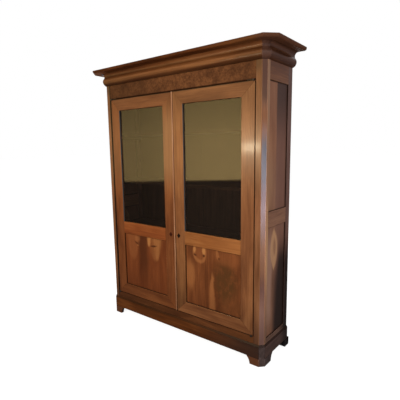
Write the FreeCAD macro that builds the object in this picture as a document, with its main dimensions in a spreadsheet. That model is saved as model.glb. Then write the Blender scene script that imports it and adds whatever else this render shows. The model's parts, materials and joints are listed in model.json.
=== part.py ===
import FreeCAD, Part
import math
import os
from types import SimpleNamespace

import Sketcher
from FreeCAD import Placement, Rotation, Vector

# A walnut bookcase with two glazed doors. All lengths are in millimetres.
# X runs across the front, Y from the front to the back and Z up from the floor.
# Each piece is drawn from the middle of the front plane at floor level, and its placement
# then moves it back so that the origin lies under the middle of the whole bookcase.

SIZES = {
    # Body
    "overall_height": 2200,
    "body_width": 1570,
    "body_depth": 395,
    "corner_cant": 28,
    "post_width": 70,
    "post_strip": 30,
    # Side frames
    "side_thickness": 24,
    "rear_stile_width": 63,
    "side_top_rail_height": 119,
    "side_middle_rail_height": 110,
    "side_middle_rail_level": 991,
    "side_bottom_rail_height": 34,
    "side_panel_recess": 8,
    "panel_thickness": 10,
    "groove_depth": 9,
    "groove_play": 1,
    # Rail under the doors and frieze above them
    "front_rail_height": 52,
    "front_rail_thickness": 32,
    "frieze_height": 115,
    "frieze_recess": 2,
    "frieze_thickness": 30,
    # Plinth and feet
    "plinth_height": 160,
    "plinth_bevel": 13,
    "plinth_projection": 9,
    "plinth_thickness": 26,
    "foot_height": 58,
    "foot_length": 68,
    "foot_depth": 88,
    "foot_sweep": 27,
    "foot_hollow": 7,
    "rear_foot_width": 50,
    "rear_foot_depth": 66,
    "rear_foot_projection": 12,
    "rear_foot_overhang": 21,
    # Cornice
    "bulge_radius": 36,
    "bulge_setback": 8,
    "curve_rise": 39,
    "cove_radius": 26,
    "cornice_seat": 16,
    "cap_thickness": 23,
    "cap_fascia": 8,
    "cap_projection": 98,
    "cap_cant": 72,
    # Inside
    "top_board_thickness": 18,
    "bottom_board_thickness": 22,
    "bottom_board_rise": 10,
    "stop_inset": 115,
    "stop_gap": 0.5,
    "shelf_thickness": 22,
    "shelf_setback": 14,
    "shelf_play": 1,
    "middle_shelf_level": 829,
    "upper_shelf_level": 1234,
    "top_shelf_level": 1640,
    "cleat_height": 25,
    "cleat_width": 20,
    "back_thickness": 14,
    "back_board_gap": 0.5,
    # Doors
    "door_thickness": 26,
    "door_gap": 5,
    "meeting_gap": 2.5,
    "hinge_stile_width": 103,
    "meeting_sight": 102,
    "door_top_rail_height": 96,
    "door_middle_rail_height": 106,
    "door_bottom_rail_height": 93,
    "door_panel_height": 477,
    "door_panel_recess": 9,
    "rabbet_width": 10,
    "glass_lip": 12,
    "glass_thickness": 3,
    "glass_play": 1,
    "bead_edge": 4,
    "bead_width": 12,
    "glazing_bead_depth": 10,
    # Pivot hinges
    "pivot_inset": 18,
    "pivot_forward": 4,
    "pivot_plate_thickness": 3,
    "pivot_end_radius": 8,
    "pivot_plate_length": 52,
    "pivot_plate_width": 16,
    "pivot_plate_setback": 2,
    "pin_radius": 3,
    "pin_clearance": 0.05,
    "boss_radius": 6,
    "boss_clearance": 0.3,
    # Lock, bolts and escutcheons
    "lock_level": 850,
    "lock_case_width": 50,
    "lock_case_height": 70,
    "lock_case_depth": 12,
    "lock_wall": 3,
    "lock_bolt_height": 12,
    "lock_bolt_length": 36,
    "lock_bolt_recess": 0.5,
    "lock_bolt_travel": 10,
    "keeper_play": 1.5,
    "slide_clearance": 0.3,
    "door_bolt_offset": 30,
    "door_bolt_width": 14,
    "door_bolt_thickness": 5,
    "door_bolt_length": 150,
    "door_bolt_recess": 1,
    "door_bolt_travel": 15,
    "thumb_radius": 5,
    "thumb_length": 7,
    "escutcheon_offset": 42,
    "escutcheon_width": 32,
    "escutcheon_height": 40,
    "escutcheon_thickness": 3,
    "keyhole_radius": 3,
    "keyhole_slot": 9,
    "keyhole_slot_width": 3,
}
BACK_BOARD_COUNT = 4
# How far a line set off from the body's outline runs on past a canted corner
MITRE = math.tan(math.pi / 8)

doc = FreeCAD.newDocument("Bookcase")
sheet = doc.addObject("Spreadsheet::Sheet", "Sizes")
for row, (alias, size) in enumerate(SIZES.items(), start=1):
    sheet.set(f"A{row}", alias)
    sheet.set(f"B{row}", str(size))
    sheet.setAlias(f"B{row}", alias)
doc.recompute()


class Measure:
    """A length that carries its value and the expression that ties it to the sheet."""

    def __init__(self, value, text):
        self.value = value
        self.text = text

    def __add__(self, other):
        other = measure(other)
        return Measure(self.value + other.value, f"({self.text} + {other.text})")

    def __sub__(self, other):
        other = measure(other)
        return Measure(self.value - other.value, f"({self.text} - {other.text})")

    def __mul__(self, number):
        return Measure(self.value * number, f"({self.text} * {number})")

    def __truediv__(self, number):
        return Measure(self.value / number, f"({self.text} / {number})")

    def __neg__(self):
        return Measure(-self.value, f"(-{self.text})")


def measure(length):
    """Takes a measure as it is, and makes one of a plain number."""
    if isinstance(length, Measure):
        return length
    return Measure(float(length), str(length))


s = SimpleNamespace(**{name: Measure(float(sheet.get(name)), f"Sizes.{name}") for name in SIZES})
ZERO = measure(0)

# Places worked out from the sizes
rear_end = s.body_depth + s.rear_foot_overhang
front_plane = (s.cap_projection - rear_end) / 2
half_body = s.body_width / 2
half_opening = half_body - s.post_width
post_depth = s.corner_cant + s.post_strip
cornice_height = s.bulge_radius + s.curve_rise + s.cove_radius
carcass_top = s.overall_height - s.cap_thickness - cornice_height
side_inner = half_body - s.side_thickness
rear_stile_front = s.body_depth - s.rear_stile_width
side_panel_outer = half_body - s.side_panel_recess
side_panel_inner = side_panel_outer - s.panel_thickness
side_middle_rail_top = s.side_middle_rail_level + s.side_middle_rail_height
side_top_rail_bottom = carcass_top - s.side_top_rail_height
side_bottom_rail_top = s.plinth_height + s.side_bottom_rail_height
panel_entry = s.groove_depth - s.groove_play
back_face = s.body_depth - s.back_thickness
cornice_inner = half_body - s.cornice_seat
cap_bottom = carcass_top + cornice_height
opening_bottom = s.plinth_height + s.front_rail_height
opening_top = carcass_top - s.frieze_height
door_bottom = opening_bottom + s.door_gap
door_top = opening_top - s.door_gap
door_outer = half_opening - s.door_gap
hinge_sight = door_outer - s.hinge_stile_width
panel_bottom = door_bottom + s.door_bottom_rail_height
panel_top = panel_bottom + s.door_panel_height
glass_bottom = panel_top + s.door_middle_rail_height
glass_top = door_top - s.door_top_rail_height
rabbet_bottom = glass_bottom - s.rabbet_width
rabbet_top = glass_top + s.rabbet_width
glass_back = s.glass_lip + s.glass_thickness
groove_back = s.door_panel_recess + s.panel_thickness
left_door_edge = -s.bead_edge
right_door_edge = s.bead_edge + s.meeting_gap
bead_middle = s.bead_edge - s.bead_width / 2
pivot_x = half_opening - s.pivot_inset
pivot_y = -s.pivot_forward
lock_bolt_thickness = s.lock_case_depth - s.lock_wall * 2
lock_bolt_front = s.door_thickness - s.lock_case_depth + s.lock_wall
lock_bolt_bottom = s.lock_level - s.lock_bolt_height / 2
lock_bolt_tip = right_door_edge + s.lock_bolt_recess
door_bolt_front = s.door_thickness - s.door_bolt_thickness - s.slide_clearance * 2

parts = []


def bind(item, setting, length):
    item.setExpression(setting, measure(length).text)


def bind_place(item, x, y, z):
    bind(item, "Placement.Base.x", x)
    bind(item, "Placement.Base.y", y)
    bind(item, "Placement.Base.z", z)


def new_body(name):
    body = doc.addObject("PartDesign::Body", name)
    bind(body, "Placement.Base.y", front_plane)
    return body


def box(body, kind, low, high):
    """Adds or cuts a block between two corners; kind is Additive or Subtractive."""
    block = body.newObject(f"PartDesign::{kind}Box", f"{kind}Block")
    for setting, start, end in zip(("Length", "Width", "Height"), low, high):
        bind(block, setting, measure(end) - start)
    bind_place(block, *low)


def cylinder(body, kind, foot, radius, length, turn=None):
    """Adds or cuts an upright cylinder, or one turned to run along another axis."""
    rod = body.newObject(f"PartDesign::{kind}Cylinder", f"{kind}Rod")
    if turn:
        rod.Placement = Placement(Vector(), turn)
    bind(rod, "Radius", radius)
    bind(rod, "Height", length)
    bind_place(rod, *foot)


def pad(body, plane, points, start, length):
    """Pads an outline upwards from an XY plane, or backwards from an XZ plane."""
    origin_plane = next(item for item in body.Origin.OriginFeatures if item.Role == plane)
    sketch = body.newObject("Sketcher::SketchObject", "Outline")
    sketch.AttachmentSupport = [(origin_plane, "")]
    sketch.MapMode = "FlatFace"
    backwards = plane == "XZ_Plane"
    bind(sketch, "AttachmentOffset.Base.z", -measure(start) if backwards else start)
    points = [(measure(across), measure(along)) for across, along in points]
    corners = [Vector(across.value, along.value, 0) for across, along in points]
    count = len(corners)
    for index in range(count):
        sketch.addGeometry(Part.LineSegment(corners[index], corners[(index + 1) % count]), False)
    for index in range(count):
        sketch.addConstraint(Sketcher.Constraint("Coincident", index, 2, (index + 1) % count, 1))
    for index, point in enumerate(points):
        for kind, length_from_origin in zip(("DistanceX", "DistanceY"), point):
            rule = Sketcher.Constraint(kind, -1, 1, index, 1, length_from_origin.value)
            number = sketch.addConstraint(rule)
            bind(sketch, f"Constraints[{number}]", length_from_origin)
    extrusion = body.newObject("PartDesign::Pad", "Pad")
    extrusion.Profile = sketch
    extrusion.Reversed = backwards
    bind(extrusion, "Length", length)
    return extrusion


def board(name, low, high):
    body = new_body(name)
    box(body, "Additive", low, high)
    return body


def mirrored(source, name):
    copy = doc.addObject("Part::Mirroring", name)
    copy.Source = source
    copy.Normal = Vector(1, 0, 0)
    return copy


def group(name, pieces):
    compound = doc.addObject("Part::Compound", name)
    compound.Links = pieces
    return compound


def hand_in(piece, label):
    piece.Label = label
    parts.append(piece)


def hand_in_pair(piece, label):
    """Hands in a right-hand piece and its mirror image on the left."""
    hand_in(piece, f"right_{label}")
    hand_in(mirrored(piece, f"Left_{label}"), f"left_{label}")


# Side frames
def front_post():
    body = new_body("FrontPost")
    outline = [
        (half_opening, 0),
        (half_body - s.corner_cant, 0),
        (half_body, s.corner_cant),
        (half_body, post_depth),
        (half_opening, post_depth),
    ]
    pad(body, "XY_Plane", outline, s.plinth_height, carcass_top - s.plinth_height)
    groove_low = (side_panel_inner, post_depth - s.groove_depth, s.plinth_height)
    box(body, "Subtractive", groove_low, (side_panel_outer, post_depth, carcass_top))
    return body


def rear_stile():
    body = board(
        "RearStile",
        (side_inner, rear_stile_front, s.plinth_height),
        (half_body, s.body_depth, carcass_top),
    )
    groove_high = (side_panel_outer, rear_stile_front + s.groove_depth, carcass_top)
    box(body, "Subtractive", (side_panel_inner, rear_stile_front, s.plinth_height), groove_high)
    rabbet_high = (cornice_inner, s.body_depth, carcass_top)
    box(body, "Subtractive", (side_inner, back_face, s.plinth_height), rabbet_high)
    return body


def side_rail(name, bottom, top, groove_below, groove_above):
    """A rail of the side frame, with a stub tenon at each end and grooves for the panels."""
    body = board(name, (side_inner, post_depth, bottom), (half_body, rear_stile_front, top))
    tenon_low = (side_panel_inner, post_depth - s.groove_depth, bottom)
    tenon_high = (side_panel_outer, rear_stile_front + s.groove_depth, top)
    box(body, "Additive", tenon_low, tenon_high)
    if groove_below:
        groove_high = (side_panel_outer, tenon_high[1], bottom + s.groove_depth)
        box(body, "Subtractive", tenon_low, groove_high)
    if groove_above:
        groove_low = (side_panel_inner, tenon_low[1], top - s.groove_depth)
        box(body, "Subtractive", groove_low, tenon_high)
    return body


def side_panel(name, bottom, top):
    return board(
        name,
        (side_panel_inner, post_depth - panel_entry, bottom - panel_entry),
        (side_panel_outer, rear_stile_front + panel_entry, top + panel_entry),
    )


hand_in_pair(front_post(), "front_post")
hand_in_pair(rear_stile(), "rear_stile")
hand_in_pair(side_rail("SideTopRail", side_top_rail_bottom, carcass_top, True, False), "side_top_rail")
hand_in_pair(
    side_rail("SideMiddleRail", s.side_middle_rail_level, side_middle_rail_top, True, True),
    "side_middle_rail",
)
hand_in_pair(
    side_rail("SideBottomRail", s.plinth_height, side_bottom_rail_top, False, True),
    "side_bottom_rail",
)
hand_in_pair(side_panel("SideUpperPanel", side_middle_rail_top, side_top_rail_bottom), "side_upper_panel")
hand_in_pair(
    side_panel("SideLowerPanel", side_bottom_rail_top, s.side_middle_rail_level),
    "side_lower_panel",
)


# Pivot hinges
def pivot_plate_blocks(side):
    """The corners of the plate's tail and of the neck that carries its round end."""
    tail_front = s.pivot_plate_setback
    tail_back = tail_front + s.pivot_plate_width
    outer = pivot_x + s.pivot_end_radius
    tail = ((pivot_x - s.pivot_plate_length, tail_front), (outer, tail_back))
    neck = ((pivot_x - s.pivot_end_radius, pivot_y), (outer, tail_front))
    return [tail, neck] if side > 0 else [mirror_block(tail), mirror_block(neck)]


def mirror_block(block):
    (low_x, low_y), (high_x, high_y) = block
    return (-measure(high_x), low_y), (-measure(low_x), high_y)


def cut_pivot_seat(body, side, bottom):
    """Lets a pivot plate into a rail."""
    for low, high in pivot_plate_blocks(side):
        box(body, "Subtractive", (*low, bottom), (*high, bottom + s.pivot_plate_thickness))


def pivot_plate(name, side, bottom):
    body = new_body(name)
    for low, high in pivot_plate_blocks(side):
        box(body, "Additive", (*low, bottom), (*high, bottom + s.pivot_plate_thickness))
    centre = pivot_x * side
    cylinder(body, "Additive", (centre, pivot_y, bottom), s.pivot_end_radius, s.pivot_plate_thickness)
    return body


def frame_pivot_plate(name, side, bottom, upwards):
    """The fixed plate, with the pin and a low boss that keeps the two plates apart."""
    body = pivot_plate(name, side, bottom)
    pin_length = s.door_gap + s.pivot_plate_thickness
    boss_height = s.door_gap - s.boss_clearance
    top = bottom + s.pivot_plate_thickness
    centre = pivot_x * side
    boss_foot = top if upwards else bottom - boss_height
    pin_foot = top if upwards else bottom - pin_length
    cylinder(body, "Additive", (centre, pivot_y, boss_foot), s.boss_radius, boss_height)
    cylinder(body, "Additive", (centre, pivot_y, pin_foot), s.pin_radius, pin_length)
    return body


def door_pivot_plate(name, bottom):
    body = pivot_plate(name, 1, bottom)
    bore = s.pin_radius + s.pin_clearance
    cylinder(body, "Subtractive", (pivot_x, pivot_y, bottom), bore, s.pivot_plate_thickness)
    return body


lower_frame_plate = opening_bottom - s.pivot_plate_thickness
upper_door_plate = door_top - s.pivot_plate_thickness
frame_plates = []
for side, hand in ((1, "Right"), (-1, "Left")):
    frame_plates.append(frame_pivot_plate(f"{hand}LowerPlate", side, lower_frame_plate, True))
    frame_plates.append(frame_pivot_plate(f"{hand}UpperPlate", side, opening_top, False))
hand_in(group("FramePivotPlates", frame_plates), "frame_pivot_plates")


# Rail under the doors and frieze above them
front_rail = board(
    "FrontBottomRail",
    (-half_opening, ZERO, s.plinth_height),
    (half_opening, s.front_rail_thickness, opening_bottom),
)
frieze = board(
    "FriezeBoard",
    (-half_opening, s.frieze_recess, opening_top),
    (half_opening, s.frieze_recess + s.frieze_thickness, carcass_top),
)
for side in (1, -1):
    cut_pivot_seat(front_rail, side, lower_frame_plate)
    cut_pivot_seat(frieze, side, opening_top)
bolt_socket_play = s.slide_clearance + s.door_bolt_recess
bolt_socket_half = s.door_bolt_width / 2 + bolt_socket_play
box(
    frieze,
    "Subtractive",
    (-s.door_bolt_offset - bolt_socket_half, door_bolt_front - bolt_socket_play, opening_top),
    (
        bolt_socket_half - s.door_bolt_offset,
        door_bolt_front + s.door_bolt_thickness + s.slide_clearance + bolt_socket_play,
        opening_top + s.door_bolt_travel,
    ),
)
hand_in(front_rail, "front_bottom_rail")
hand_in(frieze, "frieze_board")


# Boards and shelves inside
def inside_outline(front, play):
    """The plan of a board that is notched round the front posts."""
    return [
        (play - half_opening, front),
        (half_opening - play, front),
        (half_opening - play, post_depth + play),
        (side_inner - play, post_depth + play),
        (side_inner - play, back_face),
        (play - side_inner, back_face),
        (play - side_inner, post_depth + play),
        (play - half_opening, post_depth + play),
    ]


def shelf(name, level):
    body = new_body(name)
    front = s.door_thickness + s.shelf_setback
    pad(body, "XY_Plane", inside_outline(front, s.shelf_play), level, s.shelf_thickness)
    return body


def cleat(name, level):
    return board(
        name,
        (side_inner - s.cleat_width, post_depth, level - s.cleat_height),
        (side_inner, back_face, level),
    )


bottom_board_top = opening_bottom + s.bottom_board_rise
bottom_board_level = bottom_board_top - s.bottom_board_thickness
bottom_board = new_body("BottomBoard")
pad(
    bottom_board,
    "XY_Plane",
    inside_outline(s.front_rail_thickness, ZERO),
    bottom_board_level,
    s.bottom_board_thickness,
)
box(
    bottom_board,
    "Additive",
    (s.stop_inset - half_opening, s.door_thickness + s.stop_gap, opening_bottom),
    (half_opening - s.stop_inset, s.front_rail_thickness, bottom_board_top),
)
hand_in(bottom_board, "bottom_board")
hand_in(shelf("MiddleShelf", s.middle_shelf_level), "middle_shelf")
hand_in(shelf("UpperShelf", s.upper_shelf_level), "upper_shelf")
hand_in(shelf("TopShelf", s.top_shelf_level), "top_shelf")

cleats = []
for level in (bottom_board_level, s.middle_shelf_level, s.upper_shelf_level, s.top_shelf_level):
    right_cleat = cleat("RightCleat", level)
    cleats += [right_cleat, mirrored(right_cleat, "LeftCleat")]
hand_in(group("ShelfCleats", cleats), "shelf_cleats")

top_board = new_body("TopBoard")
cant_start = half_body - s.corner_cant - s.cornice_seat * MITRE
cant_end = s.corner_cant + s.cornice_seat * MITRE
top_outline = [
    (-cant_start, s.cornice_seat),
    (cant_start, s.cornice_seat),
    (cornice_inner, cant_end),
    (cornice_inner, back_face),
    (-cornice_inner, back_face),
    (-cornice_inner, cant_end),
]
pad(top_board, "XY_Plane", top_outline, carcass_top, s.top_board_thickness)
hand_in(top_board, "top_board")

# The back's boards run up between the side lengths of the cornice to close it behind
back_pitch = (cornice_inner * 2 + s.back_board_gap) / BACK_BOARD_COUNT
back_boards = []
for index in range(BACK_BOARD_COUNT):
    back_left = back_pitch * index - cornice_inner
    back_boards.append(
        board(
            f"BackBoard{index + 1}",
            (back_left, back_face, s.plinth_height),
            (back_left + back_pitch - s.back_board_gap, s.body_depth, cap_bottom),
        )
    )
hand_in(group("BackBoards", back_boards), "back_boards")


# Doors
def door_member(name, outline):
    body = new_body(name)
    pad(body, "XZ_Plane", outline, ZERO, s.door_thickness)
    return body


def cut_stile_channels(body, from_x, glass_to, panel_to):
    """Cuts the glass rabbet and the panel groove along the sight edge of a stile."""
    low_x, high_x = sorted((from_x, glass_to), key=lambda place: place.value)
    low = (low_x, s.glass_lip, rabbet_bottom)
    box(body, "Subtractive", low, (high_x, s.door_thickness, rabbet_top))
    low_x, high_x = sorted((from_x, panel_to), key=lambda place: place.value)
    low = (low_x, s.door_panel_recess, panel_bottom - s.groove_depth)
    box(body, "Subtractive", low, (high_x, groove_back, rabbet_bottom))


def hinge_stile(name):
    body = door_member(
        name,
        [
            (hinge_sight, panel_bottom),
            (door_outer, door_bottom),
            (door_outer, door_top),
            (hinge_sight, glass_top),
        ],
    )
    cut_stile_channels(body, hinge_sight, hinge_sight + s.rabbet_width, hinge_sight + s.groove_depth)
    return body


def meeting_stile(name, edge):
    body = door_member(
        name,
        [
            (s.meeting_sight, panel_bottom),
            (s.meeting_sight, glass_top),
            (edge, door_top),
            (edge, door_bottom),
        ],
    )
    rabbet_to = s.meeting_sight - s.rabbet_width
    cut_stile_channels(body, s.meeting_sight, rabbet_to, s.meeting_sight - s.groove_depth)
    return body


def door_top_rail(name, edge):
    body = door_member(
        name,
        [
            (s.meeting_sight, glass_top),
            (hinge_sight, glass_top),
            (door_outer, door_top),
            (edge, door_top),
        ],
    )
    low = (s.meeting_sight - s.rabbet_width, s.glass_lip, glass_top)
    box(body, "Subtractive", low, (hinge_sight + s.rabbet_width, s.door_thickness, rabbet_top))
    cut_pivot_seat(body, 1, upper_door_plate)
    return body


def door_middle_rail(name):
    body = new_body(name)
    box(body, "Additive", (s.meeting_sight, ZERO, panel_top), (hinge_sight, s.door_thickness, glass_bottom))
    tenon_low = (s.meeting_sight - s.groove_depth, s.door_panel_recess, panel_top + s.groove_depth)
    box(body, "Additive", tenon_low, (hinge_sight + s.groove_depth, groove_back, rabbet_bottom))
    rabbet_low = (s.meeting_sight, s.glass_lip, rabbet_bottom)
    box(body, "Subtractive", rabbet_low, (hinge_sight, s.door_thickness, glass_bottom))
    groove_low = (s.meeting_sight, s.door_panel_recess, panel_top)
    box(body, "Subtractive", groove_low, (hinge_sight, groove_back, panel_top + s.groove_depth))
    return body


def door_bottom_rail(name, edge):
    body = door_member(
        name,
        [
            (s.meeting_sight, panel_bottom),
            (hinge_sight, panel_bottom),
            (door_outer, door_bottom),
            (edge, door_bottom),
        ],
    )
    low = (s.meeting_sight - s.groove_depth, s.door_panel_recess, panel_bottom - s.groove_depth)
    box(body, "Subtractive", low, (hinge_sight + s.groove_depth, groove_back, panel_bottom))
    cut_pivot_seat(body, 1, door_bottom)
    return body


def door_panel(name):
    return board(
        name,
        (s.meeting_sight - panel_entry, s.door_panel_recess, panel_bottom - panel_entry),
        (hinge_sight + panel_entry, groove_back, panel_top + panel_entry),
    )


def door_glass(name):
    reach = s.rabbet_width - s.glass_play
    return board(
        name,
        (s.meeting_sight - reach, s.glass_lip, glass_bottom - reach),
        (hinge_sight + reach, glass_back, glass_top + reach),
    )


def glazing_beads(name):
    """Four strips that hold the pane in its rabbet from behind."""
    back = glass_back + s.glazing_bead_depth
    spans = {
        "Inner": ((s.meeting_sight - s.rabbet_width, rabbet_bottom), (s.meeting_sight, rabbet_top)),
        "Outer": ((hinge_sight, rabbet_bottom), (hinge_sight + s.rabbet_width, rabbet_top)),
        "Lower": ((s.meeting_sight, rabbet_bottom), (hinge_sight, glass_bottom)),
        "Upper": ((s.meeting_sight, glass_top), (hinge_sight, rabbet_top)),
    }
    return [
        board(f"{name}{place}", (low_x, glass_back, low_z), (high_x, back, high_z))
        for place, ((low_x, low_z), (high_x, high_z)) in spans.items()
    ]


def escutcheon(name, centre):
    """A lozenge laid on the face of the stile."""
    body = new_body(name)
    half_width = s.escutcheon_width / 2
    half_height = s.escutcheon_height / 2
    outline = [
        (centre - half_width, s.lock_level),
        (centre, s.lock_level - half_height),
        (centre + half_width, s.lock_level),
        (centre, s.lock_level + half_height),
    ]
    pad(body, "XZ_Plane", outline, -s.escutcheon_thickness, s.escutcheon_thickness)
    return body


def cut_keyhole(body, front, back):
    """Cuts a round hole with a slot below it, through the thickness of a piece."""
    backwards = Rotation(Vector(1, 0, 0), -90)
    centre = bead_middle + s.escutcheon_offset
    half_slot = s.keyhole_slot_width / 2
    cylinder(body, "Subtractive", (centre, front, s.lock_level), s.keyhole_radius, back - front, backwards)
    slot_low = (centre - half_slot, front, s.lock_level - s.keyhole_slot)
    box(body, "Subtractive", slot_low, (centre + half_slot, back, s.lock_level))


def right_meeting_stile():
    """The stile that holds the lock: a seat for its case and a keyhole in front of it."""
    body = meeting_stile("RightMeetingStile", right_door_edge)
    case_front = s.door_thickness - s.lock_case_depth
    low = (right_door_edge, case_front, s.lock_level - s.lock_case_height / 2)
    high = (right_door_edge + s.lock_case_width, s.door_thickness, s.lock_level + s.lock_case_height / 2)
    box(body, "Subtractive", low, high)
    cut_keyhole(body, ZERO, case_front)
    return body


def left_meeting_stile():
    """The stile that takes the lock's bolt: a keeper slot in its edge, and the door bolt's channel."""
    body = meeting_stile("LeftMeetingStile", left_door_edge)
    keeper_depth = s.lock_bolt_travel - s.meeting_gap - s.lock_bolt_recess + s.keeper_play
    low = (left_door_edge, lock_bolt_front - s.keeper_play, lock_bolt_bottom - s.keeper_play)
    high = (
        left_door_edge + keeper_depth,
        lock_bolt_front + lock_bolt_thickness + s.keeper_play,
        lock_bolt_bottom + s.lock_bolt_height + s.keeper_play,
    )
    box(body, "Subtractive", low, high)
    cut_door_bolt_channel(body)
    return body


def cut_door_bolt_channel(body):
    half_width = s.door_bolt_width / 2 + s.slide_clearance
    low = (
        s.door_bolt_offset - half_width,
        door_bolt_front - s.slide_clearance,
        door_top - s.door_bolt_recess - s.door_bolt_length,
    )
    box(body, "Subtractive", low, (s.door_bolt_offset + half_width, s.door_thickness, door_top))


def door_bolt():
    """A flat bar that slides up out of the left door, with a thumb piece near its foot."""
    top = door_top - s.door_bolt_recess
    foot = top - s.door_bolt_length
    back = door_bolt_front + s.door_bolt_thickness
    half_width = s.door_bolt_width / 2
    body = board(
        "DoorBolt",
        (s.door_bolt_offset - half_width, door_bolt_front, foot),
        (s.door_bolt_offset + half_width, back, top),
    )
    thumb_foot = (s.door_bolt_offset, back, foot + s.thumb_radius * 2)
    cylinder(body, "Additive", thumb_foot, s.thumb_radius, s.thumb_length, Rotation(Vector(1, 0, 0), -90))
    return body


def lock_case():
    front = s.door_thickness - s.lock_case_depth
    half_height = s.lock_case_height / 2
    body = board(
        "LockCase",
        (right_door_edge, front, s.lock_level - half_height),
        (right_door_edge + s.lock_case_width, s.door_thickness, s.lock_level + half_height),
    )
    play = s.slide_clearance
    low = (right_door_edge, lock_bolt_front - play, lock_bolt_bottom - play)
    high = (
        lock_bolt_tip + s.lock_bolt_length + play,
        lock_bolt_front + lock_bolt_thickness + play,
        lock_bolt_bottom + s.lock_bolt_height + play,
    )
    box(body, "Subtractive", low, high)
    return body


def lock_bolt():
    return board(
        "LockBolt",
        (lock_bolt_tip, lock_bolt_front, lock_bolt_bottom),
        (
            lock_bolt_tip + s.lock_bolt_length,
            lock_bolt_front + lock_bolt_thickness,
            lock_bolt_bottom + s.lock_bolt_height,
        ),
    )


def door_pieces(hand, edge, own_meeting_stile, own_top_rail, escutcheon_centre):
    """All the pieces of a door that both doors have, drawn on the right-hand side."""
    plates = [
        door_pivot_plate(f"{hand}DoorLowerPlate", door_bottom),
        door_pivot_plate(f"{hand}DoorUpperPlate", upper_door_plate),
    ]
    return {
        "hinge_stile": [hinge_stile(f"{hand}HingeStile")],
        "meeting_stile": [own_meeting_stile],
        "door_top_rail": [own_top_rail],
        "door_middle_rail": [door_middle_rail(f"{hand}DoorMiddleRail")],
        "door_bottom_rail": [door_bottom_rail(f"{hand}DoorBottomRail", edge)],
        "door_panel": [door_panel(f"{hand}DoorPanel")],
        "door_glass": [door_glass(f"{hand}DoorGlass")],
        "glazing_beads": glazing_beads(f"{hand}GlazingBead"),
        "door_pivot_plates": plates,
        "escutcheon": [escutcheon(f"{hand}Escutcheon", escutcheon_centre)],
    }


right_pieces = door_pieces(
    "Right",
    right_door_edge,
    right_meeting_stile(),
    door_top_rail("RightDoorTopRail", right_door_edge),
    bead_middle + s.escutcheon_offset,
)
cut_keyhole(right_pieces["escutcheon"][0], -s.escutcheon_thickness, ZERO)
for label, pieces in right_pieces.items():
    piece = pieces[0] if len(pieces) == 1 else group(f"Right_{label}", pieces)
    hand_in(piece, f"right_{label}")
hand_in(lock_case(), "lock_case")
hand_in(lock_bolt(), "lock_bolt")

left_top_rail = door_top_rail("LeftDoorTopRail", left_door_edge)
cut_door_bolt_channel(left_top_rail)
left_pieces = door_pieces(
    "Left",
    left_door_edge,
    left_meeting_stile(),
    left_top_rail,
    s.escutcheon_offset - bead_middle,
)
for label, pieces in left_pieces.items():
    copies = [mirrored(piece, f"Left_{label}") for piece in pieces]
    hand_in(copies[0] if len(copies) == 1 else group(f"LeftGroup_{label}", copies), f"left_{label}")
hand_in(mirrored(door_bolt(), "LeftDoorBolt"), "door_bolt")

meeting_bead = new_body("MeetingBead")
bead_radius = s.bead_width / 2
cylinder(meeting_bead, "Additive", (bead_middle, ZERO, door_bottom), bead_radius, door_top - door_bottom)
box(
    meeting_bead,
    "Subtractive",
    (bead_middle - bead_radius, ZERO, door_bottom),
    (bead_middle + bead_radius, bead_radius, door_top),
)
hand_in(meeting_bead, "meeting_bead")


# Mouldings that run round the canted corners
CANT_OUTWARDS = Vector(1, -1, 0).normalize()


class Run:
    """A straight stretch of the body's outline, with the mitre direction at each end."""

    def __init__(self, start, end, outwards, start_mitre, end_mitre):
        self.start = start
        self.end = end
        self.outwards = outwards
        self.start_mitre = start_mitre
        self.end_mitre = end_mitre

    def plan(self, inner, outer, bottom, height):
        """The stretch between two projections from the body, as a block with mitred ends."""
        corners = [
            self.start + self.start_mitre * inner,
            self.end + self.end_mitre * inner,
            self.end + self.end_mitre * outer,
            self.start + self.start_mitre * outer,
        ]
        return upright_block(corners, bottom, height)

    def moulding(self, profile, inner, outer):
        """Runs a profile of (projection, height) edges along the stretch and mitres its ends."""
        along = (self.end - self.start).normalize()
        overlap = along * (outer - inner)
        frame = FreeCAD.Matrix()
        foot = self.start - overlap
        columns = (self.outwards, Vector(0, 0, 1), along, foot)
        for column, vector in enumerate(columns, start=1):
            for line, amount in enumerate((vector.x, vector.y, vector.z), start=1):
                setattr(frame, f"A{line}{column}", amount)
        face = Part.Face(Part.Wire(profile)).transformGeometry(frame)
        length = self.end - self.start + overlap * 2
        bounds = face.BoundBox
        return face.extrude(length).common(self.plan(inner, outer, bounds.ZMin, bounds.ZLength))


def upright_block(corners, bottom, height):
    """A block on a plan, given by its corners."""
    lifted = [corner + Vector(0, 0, bottom) for corner in corners]
    return Part.Face(Part.makePolygon([*lifted, lifted[0]])).extrude(Vector(0, 0, height))


def feature(name, shape):
    """Puts a finished shape in the document, in the shared place."""
    item = doc.addObject("Part::Feature", name)
    item.Shape = shape
    item.Placement = Placement(Vector(0, front_plane.value, 0), Rotation())
    return item


def lines(points):
    """Straight edges through points, left open at the end."""
    return [Part.LineSegment(start, end).toShape() for start, end in zip(points, points[1:])]


front_corner = Vector(half_body.value - s.corner_cant.value, 0, 0)
side_corner = Vector(half_body.value, s.corner_cant.value, 0)
left_front_corner = Vector(-front_corner.x, 0, 0)
front_mitre = Vector(MITRE, -1, 0)
side_mitre = Vector(1, -MITRE, 0)
front_run = Run(left_front_corner, front_corner, Vector(0, -1, 0), Vector(-MITRE, -1, 0), front_mitre)
corner_run = Run(front_corner, side_corner, CANT_OUTWARDS, front_mitre, side_mitre)
side_end = Vector(half_body.value, s.body_depth.value, 0)
side_run = Run(side_corner, side_end, Vector(1, 0, 0), side_mitre, Vector(1, 0, 0))


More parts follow.
